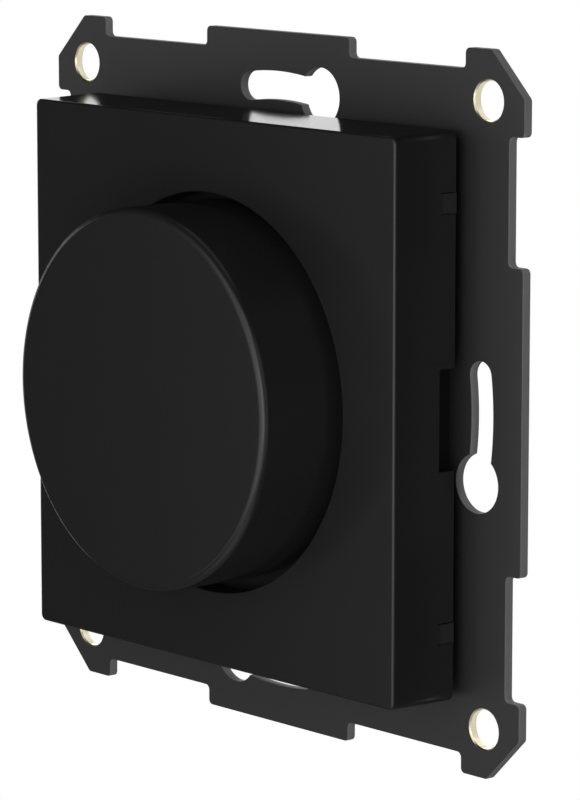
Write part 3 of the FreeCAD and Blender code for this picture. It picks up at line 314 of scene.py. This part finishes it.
# Plan loops: points (across, up), the metal on the left of the way round
def arc(across, up, radius, start, end, steps):
    turns = [math.radians(start + (end - start) * k / steps) for k in range(steps + 1)]
    return [(across + radius * math.cos(t), up + radius * math.sin(t)) for t in turns]


def ringLoop(across, up, radius, steps):
    return arc(across, up, radius, 0, 360, steps)[:-1]


def rounded(corners, radius, steps):
    loop = []
    for index, corner in enumerate(corners):
        here, before = Vector(corner), Vector(corners[index - 1])
        after = Vector(corners[(index + 1) % len(corners)])
        back, forth = (before - here).normalized(), (after - here).normalized()
        half = back.angle(forth) / 2
        start = here + back * radius / math.tan(half)
        middle = here + (back + forth).normalized() * radius / math.sin(half)
        sweep = (start - middle).angle_signed(here + forth * radius / math.tan(half) - middle)
        for k in range(steps + 1):
            turn = Matrix.Rotation(-sweep * k / steps, 2)
            loop.append(tuple(middle + turn @ (start - middle)))
    return loop


def insetLoop(loop, reach):      # every side moved into the metal
    moved = []
    for index, point in enumerate(loop):
        here, before = Vector(point), Vector(loop[index - 1])
        after = Vector(loop[(index + 1) % len(loop)])
        first, second = (here - before).normalized(), (after - here).normalized()
        sideA, sideB = Vector((-first.y, first.x)), Vector((-second.y, second.x))
        moved.append(tuple(here + (sideA + sideB) * reach / (1 + sideA.dot(sideB))))
    return moved


# Mesh building
lap = 0.1              # how far a block reaches into the rest of its piece
hair = 0.01            # keeps two faces of a piece out of one plane
sharpAngle = 35        # an edge that turns by more stays sharp


def addRing(mesh, loop, depth):
    return [mesh.verts.new((across, -depth, up)) for across, up in loop]


def stitch(mesh, first, second):
    for index in range(len(first)):
        after = (index + 1) % len(first)
        mesh.faces.new((first[index], first[after], second[after], second[index]))


def addBlock(mesh, ends):      # closes the space between two like outlines
    stitch(mesh, *ends)
    for end in ends:
        mesh.faces.new(end)


def spoke(near, far, half, angle):      # outline of a bar that runs out from the knob's axis
    turn = math.radians(angle)
    return [(along * math.cos(turn) - side * math.sin(turn), along * math.sin(turn) + side * math.cos(turn))
            for along, side in ((near, -half), (far, -half), (far, half), (near, half))]


def cap(mesh, rings):      # a flat face with holes
    edges = []
    for ring in rings:
        for index in range(len(ring)):
            edges.append(mesh.edges.get((ring[index], ring[index - 1])))
            edges[-1].smooth = False
    bmesh.ops.triangle_fill(mesh, use_beauty=True, edges=edges)


def lathe(mesh, profile, steps, across=0.0, up=0.0, closed=False):      # profile: radii and depths
    rings = []
    for radius, depth in profile:
        if radius == 0:
            rings.append([mesh.verts.new((across, -depth, up))])
        else:
            rings.append(addRing(mesh, ringLoop(across, up, radius, steps), depth))
    pairs = list(zip(rings, rings[1:])) + ([(rings[-1], rings[0])] if closed else [])
    for first, second in pairs:
        for index in range(steps):
            after = (index + 1) % steps
            if len(first) == 1:
                mesh.faces.new((first[0], second[index], second[after]))
            elif len(second) == 1:
                mesh.faces.new((first[after], first[index], second[0]))
            else:
                mesh.faces.new((first[index], first[after], second[after], second[index]))
    return rings


def finishPiece(mesh, name, node, body, finish):
    bmesh.ops.recalc_face_normals(mesh, faces=mesh.faces)
    for edge in mesh.edges:
        if edge.calc_face_angle(0) > math.radians(sharpAngle):
            edge.smooth = False
    for face in mesh.faces:
        face.smooth = True
    data = bpy.data.meshes.new(name)
    mesh.to_mesh(data)
    mesh.free()
    data.transform(Matrix.Scale(mm, 4))
    piece = bpy.data.objects.new(name, data)
    bpy.context.scene.collection.objects.link(piece)
    shade = piece.modifiers.new("evenShade", "WEIGHTED_NORMAL")
    shade.keep_sharp = True
    data.materials.append(finishes[finish])
    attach(piece, body)
    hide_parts(node)
    print("made", name, len(data.polygons), "faces")
    return piece


# Corner sleeves: the plate's coat laps over their rims
sleeve = {"spacing": 30.5, "outer": 2.15, "bore": 1.95, "mouth": 2.09, "thickness": 1.0, "coat": 0.03,
          "edge": 0.02, "steps": 72}


def makeSleeves():
    mesh = bmesh.new()
    outer, bore, mouth, edge = sleeve["outer"], sleeve["bore"], sleeve["mouth"], sleeve["edge"]
    rear, front = sleeve["coat"], sleeve["thickness"] - sleeve["coat"]
    profile = [(outer, rear + edge), (outer, front - edge), (outer - edge, front), (mouth, front),
               (bore, front - mouth + bore), (bore, rear + mouth - bore), (mouth, rear), (outer - edge, rear)]
    for sideX in (-1, 1):
        for sideZ in (-1, 1):
            lathe(mesh, profile, sleeve["steps"], sideX * sleeve["spacing"], sideZ * sleeve["spacing"], True)
    return finishPiece(mesh, "cornerSleeves", "corner_bushes", "housing", "turnedBrass")


# Mounting plate
plate = {
    "half": 35.4, "thickness": 1.0, "cornerRound": 0.5,
    "edge": 0.07, "edgeMiddle": 0.29,                # the sheared edges' round, and where its middle lies
    "tabAcross": 10.85, "tabUp": 14.9, "notch": 2.0, "ear": 8.1, "chamfer": 4.5,
    "slotRadius": 30.0, "slotWidth": 2.9, "tipAngle": 7.75, "headAngle": -12.45, "headRadius": 2.9,
    "windowAcross": 40.0, "windowUp": 40.2, "windowRound": 5.0,
    "screwAcross": 22.3, "screwUp": 13.0, "screwRadius": 1.25, "sinkRadius": 2.15, "sinkDepth": 0.9,
    "screwEase": 0.03, "lipEase": 0.01,
    "cornerSteps": 4, "windowSteps": 16, "slotSteps": 18, "tipSteps": 20, "headSteps": 40, "screwSteps": 40,
}


def plateOutline():
    half, low = plate["half"], plate["half"] - plate["notch"]
    ear, cut = half - plate["ear"], half - plate["chamfer"]
    quarter = [(plate["tabAcross"], half), (plate["tabAcross"], low), (ear, low), (ear, half), (cut, half),
               (half, cut), (half, ear), (low, ear), (low, plate["tabUp"]), (half, plate["tabUp"])]
    corners = []
    for sideX, sideZ, turned in ((1, 1, False), (1, -1, True), (-1, -1, False), (-1, 1, True)):
        corners += [(sideX * x, sideZ * z) for x, z in (reversed(quarter) if turned else quarter)]
    return rounded(corners[::-1], plate["cornerRound"], plate["cornerSteps"])


def keyhole(turn):
    radius, half, head = plate["slotRadius"], plate["slotWidth"] / 2, plate["headRadius"]
    lead = {}
    for side in (-1, 1):      # where the round end meets the slot's sides
        other = radius + side * half
        lead[side] = math.degrees(math.acos((radius ** 2 + other ** 2 - head ** 2) / (2 * radius * other)))
    tip, start = plate["tipAngle"] + turn, plate["headAngle"] + turn

    def spot(distance, angle):
        return distance * math.cos(math.radians(angle)), distance * math.sin(math.radians(angle))

    middle = spot(radius, start)
    outer = spot(radius + half, start + lead[1])
    inner = spot(radius - half, start + lead[-1])
    headFrom = math.degrees(math.atan2(inner[1] - middle[1], inner[0] - middle[0]))
    headTo = math.degrees(math.atan2(outer[1] - middle[1], outer[0] - middle[0]))
    if headTo < headFrom:
        headTo += 360
    loop = arc(0, 0, radius + half, start + lead[1], tip, plate["slotSteps"])
    loop += arc(*spot(radius, tip), half, tip, tip + 180, plate["tipSteps"])[1:-1]
    loop += arc(0, 0, radius - half, tip, start + lead[-1], plate["slotSteps"])
    loop += arc(*middle, head, headFrom, headTo, plate["headSteps"])[1:-1]
    return loop[::-1]


def makePlate():
    mesh = bmesh.new()
    thick, edge, middle = plate["thickness"], plate["edge"], plate["edge"] * plate["edgeMiddle"]
    plain = [(edge, 0), (middle, middle), (0, edge),
             (0, thick - edge), (middle, thick - middle), (edge, thick)]
    coat, seat, lip = sleeve["coat"], sleeve["outer"] - sleeve["mouth"], plate["lipEase"]
    lapped = [(lip, 0), (0, lip), (0, coat), (seat, coat),
              (seat, thick - coat), (0, thick - coat), (0, thick - lip), (lip, thick)]
    sink, ease = plate["sinkRadius"] - plate["screwRadius"], plate["screwEase"]
    sunk = [(sink, 0), (0, plate["sinkDepth"]), (0, thick - ease), (ease, thick)]
    across, up = plate["windowAcross"] / 2, plate["windowUp"] / 2
    window = [(across, up), (across, -up), (-across, -up), (-across, up)]
    loops = [(plateOutline(), plain)]
    loops += [(keyhole(turn), plain) for turn in (0, 90, 180, 270)]
    loops.append((rounded(window, plate["windowRound"], plate["windowSteps"]), plain))
    for sideX in (-1, 1):
        for sideZ in (-1, 1):
            place = (sideX * sleeve["spacing"], sideZ * sleeve["spacing"])
            loops.append((ringLoop(*place, sleeve["mouth"], sleeve["steps"])[::-1], lapped))
            place = (sideX * plate["screwAcross"], sideZ * plate["screwUp"])
            loops.append((ringLoop(*place, plate["screwRadius"], plate["screwSteps"])[::-1], sunk))
    rear, front = [], []
    for loop, profile in loops:
        rings = [addRing(mesh, insetLoop(loop, reach), depth) for reach, depth in profile]
        for first, second in zip(rings, rings[1:]):
            stitch(mesh, first, second)
        rear.append(rings[0])
        front.append(rings[-1])
    cap(mesh, rear)
    cap(mesh, front)
    return finishPiece(mesh, "mountingPlate", "mounting_plate", "housing", "powderCoat")


# Knob
knob = {
    "radius": 19.0, "skirtRadius": 19.1, "front": 19.2, "rear": 8.0, "frontRound": 0.8, "skirtRound": 0.3,
    "wall": 1.7, "face": 1.6, "innerFillet": 0.5,
    "hub": 5.5, "hubRear": 13.15, "hubEase": 0.3, "bore": 3.04, "boreEnd": 17.1,
    "boreFlat": 1.85,                                # the leaf spring lies under it, on the shaft's flat
    "ribs": 8, "ribThickness": 1.0, "ribHeight": 3.2,
    "ribRoot": 0.4, "ribTip": 0.05,                  # how far a rib reaches into the hub and the skirt
    "steps": 224, "frontSteps": 12, "smallSteps": 4, "flatSteps": 16,
    "faceRings": (6, 12, 16.5),                      # they keep the face's triangles short
}


def quarterTurn(across, depth, radius, start, end, steps):      # an arc of the profile, in the lathe's plane
    turns = [math.radians(start + (end - start) * k / steps) for k in range(steps + 1)]
    return [(across + radius * math.cos(t), depth + radius * math.sin(t)) for t in turns]


def makeKnob():
    mesh = bmesh.new()
    front, rear, inside = knob["front"], knob["rear"], knob["front"] - knob["face"]
    radius, skirt, wide, small = knob["radius"], knob["skirtRadius"], knob["frontRound"], knob["skirtRound"]
    inner, fillet, few = skirt - knob["wall"], knob["innerFillet"], knob["smallSteps"]
    hub, hubRear, ease = knob["hub"], knob["hubRear"], knob["hubEase"]
    bore, boreEnd = knob["bore"], knob["boreEnd"]
    profile = [(ring, front) for ring in (0, *knob["faceRings"])]
    profile += quarterTurn(radius - wide, front - wide, wide, 90, 0, knob["frontSteps"])
    profile += quarterTurn(skirt - small, rear + small, small, 0, -90, few)
    profile += quarterTurn(inner + small, rear + small, small, -90, -180, few)
    profile += quarterTurn(radius - knob["wall"] - fillet, inside - fillet, fillet, 0, 90, few)
    profile += [(hub + ease, inside), (hub, inside - ease), (hub, hubRear), (bore, hubRear), (bore, boreEnd),
                (0, boreEnd)]
    lathe(mesh, profile, knob["steps"])
    half, foot = knob["ribThickness"] / 2, inside - knob["ribHeight"]
    for count in range(knob["ribs"]):
        rib = spoke(hub - knob["ribRoot"], inner - knob["ribTip"], half, 360 * count / knob["ribs"])
        addBlock(mesh, [addRing(mesh, rib, depth) for depth in (foot, inside + lap)])
    turn = math.degrees(math.asin(knob["boreFlat"] / (bore + lap)))
    land = arc(0, 0, bore + lap, turn, 180 - turn, knob["flatSteps"])
    addBlock(mesh, [addRing(mesh, land, depth) for depth in (hubRear + hair, boreEnd + lap)])
    return finishPiece(mesh, "roundKnob", "knob_cap", "knob", "mattMoulding")


# Front cover
cover = {
    "across": 27.5, "up": 27.6, "rear": 2.5, "notch": 4.45, "front": 10.2, "inside": 8.6,
    "draft": 0.025,                                  # the sides widen a little towards the rear
    "corner": 0.7, "edge": 0.25, "wall": 1.8, "innerCorner": 1.5,
    "well": 20.1, "wellEdge": 0.15, "wellFloor": 7.2, "wellRear": 6.2, "opening": 9.34, "collar": 21.3,
    "pry": 5.0, "tongue": 20.9, "tongueWidth": 2.0, "slit": 0.06,
    "tongueRise": 0.10, "tongueRamp": 0.35, "rampRise": 0.8,
    "barbReach": 0.65, "barbTip": 3.25, "barbRoot": 0.2,     # the tongues' barbs, inwards
    "braceEnd": 32.52, "brace": 1.2, "braceRoot": 0.6,       # four braces from the collar to the corners
    "steps": 224, "cornerSteps": 8, "edgeSteps": 4,
    "drop": 0.21,                                    # the snap fit's play: it hangs a little low
}


def coverSide():      # heights where the side walls change, and what lies above each
    half, slit, level = cover["tongueWidth"] / 2, cover["slit"], cover["tongue"]
    upper = [(cover["pry"], "wall"), (level - half - slit, "slit"), (level - half, "tongue"),
             (level + half, "slit"), (level + half + slit, "wall")]
    names = ["wall", "slit", "tongue", "slit", "wall", "notch"]
    lower = [-height for height, kind in reversed(upper)]
    return list(zip(lower, names[1:])) + upper


def coverLoop(across, up, corner):      # the right side first, upwards; the kind of each stretch
    loop, kinds = [], []
    side, steps = coverSide(), cover["cornerSteps"]
    for height, kind in side:
        loop.append((across, height))
        kinds.append(kind)
    for start, sideX, sideZ in ((0, 1, 1), (90, -1, 1)):
        loop += arc(sideX * (across - corner), sideZ * (up - corner), corner, start, start + 90, steps)
        kinds += ["wall"] * (steps + 1)
    backKinds = [kind for height, kind in side][::-1][1:] + ["wall"]
    for (height, _), kind in zip(side[::-1], backKinds):
        loop.append((-across, height))
        kinds.append(kind)
    for start, sideX, sideZ in ((180, -1, -1), (270, 1, -1)):
        loop += arc(sideX * (across - corner), sideZ * (up - corner), corner, start, start + 90, steps)
        kinds += ["wall"] * (steps + 1)
    return loop, kinds


def makeCover():
    mesh = bmesh.new()
    across, up, edge, few = cover["across"], cover["up"], cover["edge"], cover["edgeSteps"]

    def wallLoop(depth, inset=0.0):
        grown = (cover["front"] - depth) * cover["draft"] - inset
        return coverLoop(across + grown, up + grown, cover["corner"] + grown)[0]

    plan, kinds = coverLoop(across, up, cover["corner"])
    hollow, _ = coverLoop(across - cover["wall"], up - cover["wall"], cover["innerCorner"])
    count = len(plan)
    ramp = cover["notch"] - cover["tongueRamp"]
    tips, pads = wallLoop(cover["rear"]), wallLoop(ramp)
    for index, (x, z) in enumerate(plan):
        if "tongue" in (kinds[index], kinds[index - 1]):
            rise = math.copysign(cover["tongueRise"], x)
            tips[index] = (tips[index][0] + rise, tips[index][1])
            pads[index] = (pads[index][0] + rise * cover["rampRise"], pads[index][1])
    outer = [addRing(mesh, tips, cover["rear"]), addRing(mesh, wallLoop(cover["notch"]), cover["notch"])]
    pad = addRing(mesh, pads, ramp)
    for k in range(few + 1):
        turn = math.pi / 2 * k / few
        depth = cover["front"] - edge + edge * math.sin(turn)
        outer.append(addRing(mesh, wallLoop(depth, edge * (1 - math.cos(turn))), depth))
    inner = [addRing(mesh, hollow, depth) for depth in (cover["rear"], cover["notch"], cover["inside"])]
    for first, second in zip(outer[1:], outer[2:]):
        stitch(mesh, first, second)
    stitch(mesh, inner[1], inner[2])
    isOpen = [kind in ("slit", "notch") for kind in kinds]
    for index in range(count):
        after = (index + 1) % count
        level = 1 if isOpen[index] else 0
        mesh.faces.new((outer[level][index], outer[level][after], inner[level][after], inner[level][index]))
        if level == 0:
            for first, second in ((outer[0], pad), (pad, outer[1]), (inner[0], inner[1])):
                mesh.faces.new((first[index], first[after], second[after], second[index]))
        if isOpen[index] != isOpen[index - 1]:
            mesh.faces.new((outer[0][index], pad[index], outer[1][index], inner[1][index], inner[0][index]))
    lip = cover["wellEdge"]
    profile = quarterTurn(cover["well"] + lip, cover["front"] - lip, lip, 90, 180, few)
    profile += [(cover["well"], cover["wellFloor"]), (cover["opening"], cover["wellFloor"]),
                (cover["opening"], cover["wellRear"]), (cover["collar"], cover["wellRear"]),
                (cover["collar"], cover["inside"])]
    dish = lathe(mesh, profile, cover["steps"])
    cap(mesh, [outer[-1], dish[0]])
    cap(mesh, [inner[-1], dish[-1]])
    for angle in (45, 135, 225, 315):
        brace = spoke(cover["collar"] - cover["braceRoot"], cover["braceEnd"], cover["brace"] / 2, angle)
        ends = (cover["inside"] - cover["brace"], cover["inside"] + lap)
        addBlock(mesh, [addRing(mesh, brace, depth) for depth in ends])
    wall, half = across - cover["wall"], cover["tongueWidth"] / 2 - hair
    root, start, tip = wall + cover["barbRoot"], cover["rear"] + hair, cover["barbTip"]
    barb = [(root, start), (wall, start), (wall - cover["barbReach"], tip), (root, tip)]
    for sideX in (-1, 1):
        for level in (-cover["tongue"], cover["tongue"]):
            addBlock(mesh, [[mesh.verts.new((sideX * x, -depth, level + end)) for x, depth in barb]
                            for end in (-half, half)])
    loose = [vertex for vertex in mesh.verts if not vertex.link_faces]
    bmesh.ops.delete(mesh, geom=loose, context="VERTS")
    bmesh.ops.translate(mesh, vec=(0, 0, -cover["drop"]), verts=mesh.verts)
    return finishPiece(mesh, "squareCover", "front_cover", "housing", "mattMoulding")


# Snap dome under the shaft: it goes flat as the knob is pressed
dome = {"radius": 2.4, "flat": 0.6, "foot": 6.7, "height": 0.5, "metal": 0.12, "rim": 0.18, "rings": 8,
        "steps": 64, "flatAt": 6.66, "keep": 0.05}


def makeDome():
    mesh = bmesh.new()
    steps = [k / dome["rings"] for k in range(dome["rings"] + 1)]
    foot, flat, metal = dome["foot"], dome["flat"], dome["metal"]
    wide, low = dome["radius"] - flat, dome["height"] - metal
    top = [(flat + wide * t, foot + dome["height"] * (1 - t * t)) for t in steps]
    under = [(flat + (wide - dome["rim"]) * t, foot + low * (1 - t * t)) for t in reversed(steps)]
    lathe(mesh, [(0, top[0][1])] + top + under + [(0, under[-1][1])], dome["steps"])
    piece = finishPiece(mesh, "snapDome", "push_dome", "housing", "springSteel")
    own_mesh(piece)


# The finishes are mixed here because the painted light on the moulding's snap tongues follows the cover's
# sizes
finishes = {"mattMoulding": mattMoulding(), "powderCoat": powderCoat(), "solderMask": solderMask()}
for name, look in metals.items():
    finishes[name] = metalFinish(name, look)
for name, look in plastics.items():
    finishes[name] = plasticFinish(name, look)
print("finishes mixed:", len(finishes))

makePlate()
sleeves = makeSleeves()
makeCover()
makeKnob()
makeDome()


# The nodes whose shape stays get their finish here
dressed = {
    # the base housing takes the darker moulding: painted shade
    "base_housing": "shadeDarkMoulding", "plate_screws": "zincPlate", "knob_grip_spring": "springSteel",
    "encoder_shaft": "turnedNickel", "encoder_rotor": "encoderPlastic", "encoder_base": "encoderPlastic",
    "detent_spring": "springSteel", "encoder_frame": "zincPlate",
    "shaft_bush": "turnedNickel", "encoder_pins": "tinnedBronze", "main_board": "solderMask",
    "board_screws": "zincPlate", "radio_module": "solderMask", "radio_shield": "zincPlate",
    "chip_antenna": "paleCeramic", "status_led": "lampLens", "power_coil": "darkFerrite",
    "power_chip": "darkFerrite", "board_capacitors": "paleCeramic", "setup_switch": "darkFerrite",
    "setup_plunger": "palePlastic", "coin_cell": "cellSteel", "negative_contact": "tinnedBronze",
    "positive_contact": "tinnedBronze",
}
for node, finish in dressed.items():
    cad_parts[node].material_slots[0].material = finishes[finish]
print("nodes dressed:", len(dressed))


# Studio: soft boxes round the object, small cards in its corner holes, a pale floor and a white surround
studio = {
    "middle": (0, -8, 0),                                     # the boxes stand round it
    "power": 4.0,                                             # watts per square metre at strength 1
    "wallDistance": 300, "wallWide": 20, "wallTall": 25,      # from the middle, and each box seen from it
    "wallLevels": (-20, 5, 30),
    "wall": {                                                 # strengths from the low box to the high one
        -25: (0.28, 0.31, 0.19),
        -5: (0.73, 0.85, 0.57),
        15: (0.94, 1.00, 0.52),
        35: (0.74, 0.69, 0.28),
        55: (0.38, 0.30, 0.05),
    },
    "sides": [
        {"name": "leftStrip", "azimuth": -80, "elevation": 0, "distance": 400, "wide": 16, "tall": 30,
         "strength": 1.6},
        {"name": "leftRim", "azimuth": -116, "elevation": -17, "distance": 400, "wide": 16, "tall": 16,
         "strength": 1.6},
        {"name": "leftLow", "azimuth": -40, "elevation": -8, "distance": 300, "wide": 10, "tall": 50,
         "strength": 0.135},
        {"name": "nearBox", "azimuth": 40, "elevation": -2, "distance": 170, "wide": 24, "tall": 28,
         "strength": 1.0},
        {"name": "nearHigh", "azimuth": 40, "elevation": 28, "distance": 170, "wide": 24, "tall": 28,
         "strength": 0.63},
        {"name": "rightStrip", "azimuth": 84, "elevation": 4, "distance": 400, "wide": 26, "tall": 60,
         "strength": 0.30},
        {"name": "backRight", "azimuth": 131, "elevation": -12, "distance": 400, "wide": 40, "tall": 50,
         "strength": 0.025},
        {"name": "backBox", "azimuth": 180, "elevation": 20, "distance": 500, "wide": 44, "tall": 40,
         "strength": 1.2},
        {"name": "topBox", "azimuth": 180, "elevation": 78, "distance": 500, "wide": 44, "tall": 34,
         "strength": 0.2},
        {"name": "lowBox", "azimuth": 20, "elevation": -56, "distance": 400, "wide": 50, "tall": 48,
         "strength": 0.25},
    ],
    "surround": 0.012,
    "behind": {"toward": (-0.7425, 0.650, 0.10), "strength": 3.0, "from": 0.93, "to": 0.975},
    "floor": {"height": -600, "radius": 1500, "steps": 96, "paint": (0.80, 0.80, 0.79), "rough": 0.9,
              "pale": (0.70, 0.70, 0.69), "paleFrom": 200, "paleTo": 1450},      # what the camera sees of it
    "cards": {"depth": 0.03, "across": 3.8, "strength": 0.55},      # round, in the rear ends of the sleeves
}


def addLamp(name, shape, wide, tall, strength, place, back):      # it shines away from back
    lamp = bpy.data.lights.new(name, "AREA")
    lamp.shape = shape
    lamp.size, lamp.size_y = wide * mm, tall * mm
    fill = math.pi / 4 if shape == "DISK" else 1
    lamp.energy = studio["power"] * strength * fill * lamp.size * lamp.size_y
    box = bpy.data.objects.new(name, lamp)
    bpy.context.scene.collection.objects.link(box)
    box.location = Vector(place) * mm
    box.rotation_mode = "QUATERNION"
    box.rotation_quaternion = Vector(back).to_track_quat("Z", "Y")
    box.visible_camera = False
    return box


def softBox(name, azimuth, elevation, distance, wide, tall, strength):      # wide and tall as angles
    back = around(azimuth, elevation)
    across, up = (2 * distance * math.tan(math.radians(size / 2)) for size in (wide, tall))
    addLamp(name, "RECTANGLE", across, up, strength, back * distance + Vector(studio["middle"]), back)


def layCards(piece):      # small pale lamps at the rear of the corner holes, which light only the sleeves
    cards = studio["cards"]
    lit = bpy.data.collections.new("sleevesLit")
    lit.objects.link(piece)
    for sideX in (-1, 1):
        for sideZ in (-1, 1):
            place = (sideX * sleeve["spacing"], -cards["depth"], sideZ * sleeve["spacing"])
            card = addLamp(f"card_{sideX}_{sideZ}", "DISK", cards["across"], cards["across"],
                           cards["strength"], place, (0, 1, 0))
            card.light_linking.receiver_collection = lit


def lightSurround():
    world = bpy.data.worlds.new("surround")
    world.use_nodes = True
    world.node_tree.nodes.clear()
    wire = Wire(world.node_tree)
    way = wire.make("TexCoord", {}, {}, "Generated")
    behind = studio["behind"]
    near = wire.make("VectorMath", {"operation": "DOT_PRODUCT"},
                     {0: way, 1: tuple(Vector(behind["toward"]).normalized())}, 1)
    glow = near.over(behind["from"], behind["to"]) * behind["strength"] + studio["surround"]
    soft = wire.make("Background", {}, {"Color": (1, 1, 1, 1), "Strength": glow})
    white = wire.make("Background", {}, {"Color": (1, 1, 1, 1), "Strength": 1.0})
    seen = wire.make("LightPath", {}, {}, "Is Camera Ray")
    mixed = wire.make("MixShader", {}, {0: seen, 1: soft, 2: white})
    wire.make("OutputWorld", {}, {"Surface": mixed})
    bpy.context.scene.world = world


def layFloor():
    look = studio["floor"]
    mesh = bmesh.new()
    mesh.faces.new(addRing(mesh, ringLoop(0, 0, look["radius"], look["steps"]), 0))
    data = bpy.data.meshes.new("floor")
    mesh.to_mesh(data)
    mesh.free()
    data.transform(Matrix.Scale(mm, 4) @ Matrix.Rotation(math.pi / 2, 4, "X"))
    floor = bpy.data.objects.new("floor", data)
    floor.location.z = look["height"] * mm
    bpy.context.scene.collection.objects.link(floor)
    paint, wire = startFinish("floorPaint")
    place = wire.make("TexCoord", {}, {}, "Object")
    reach = wire.make("VectorMath", {"operation": "LENGTH"}, {0: place}, 1) * (1 / mm)
    tone = tint(wire, reach.over(look["paleFrom"], look["paleTo"]), look["pale"], (1, 1, 1))
    lit = wire.make("BsdfPrincipled", {}, {"Base Color": (*look["paint"], 1), "Roughness": look["rough"]})
    pale = wire.make("BsdfPrincipled", {}, {"Base Color": (0, 0, 0, 1), "Specular IOR Level": 0.0,
                                            "Emission Color": tone, "Emission Strength": 1.0})
    seen = wire.make("LightPath", {}, {}, "Is Camera Ray")
    wire.make("OutputMaterial", {}, {"Surface": wire.make("MixShader", {}, {0: seen, 1: lit, 2: pale})})
    data.materials.append(paint)


for azimuth, strengths in studio["wall"].items():
    for elevation, strength in zip(studio["wallLevels"], strengths):
        softBox(f"wallBox_{azimuth}_{elevation}", azimuth, elevation, studio["wallDistance"],
                studio["wallWide"], studio["wallTall"], strength)
for side in studio["sides"]:
    softBox(**side)
layCards(sleeves)
lightSurround()
layFloor()
bpy.context.scene.view_settings.view_transform = "Standard"
bpy.context.scene.view_settings.look = "None"
print("studio lit")

bpy.context.view_layer.update()
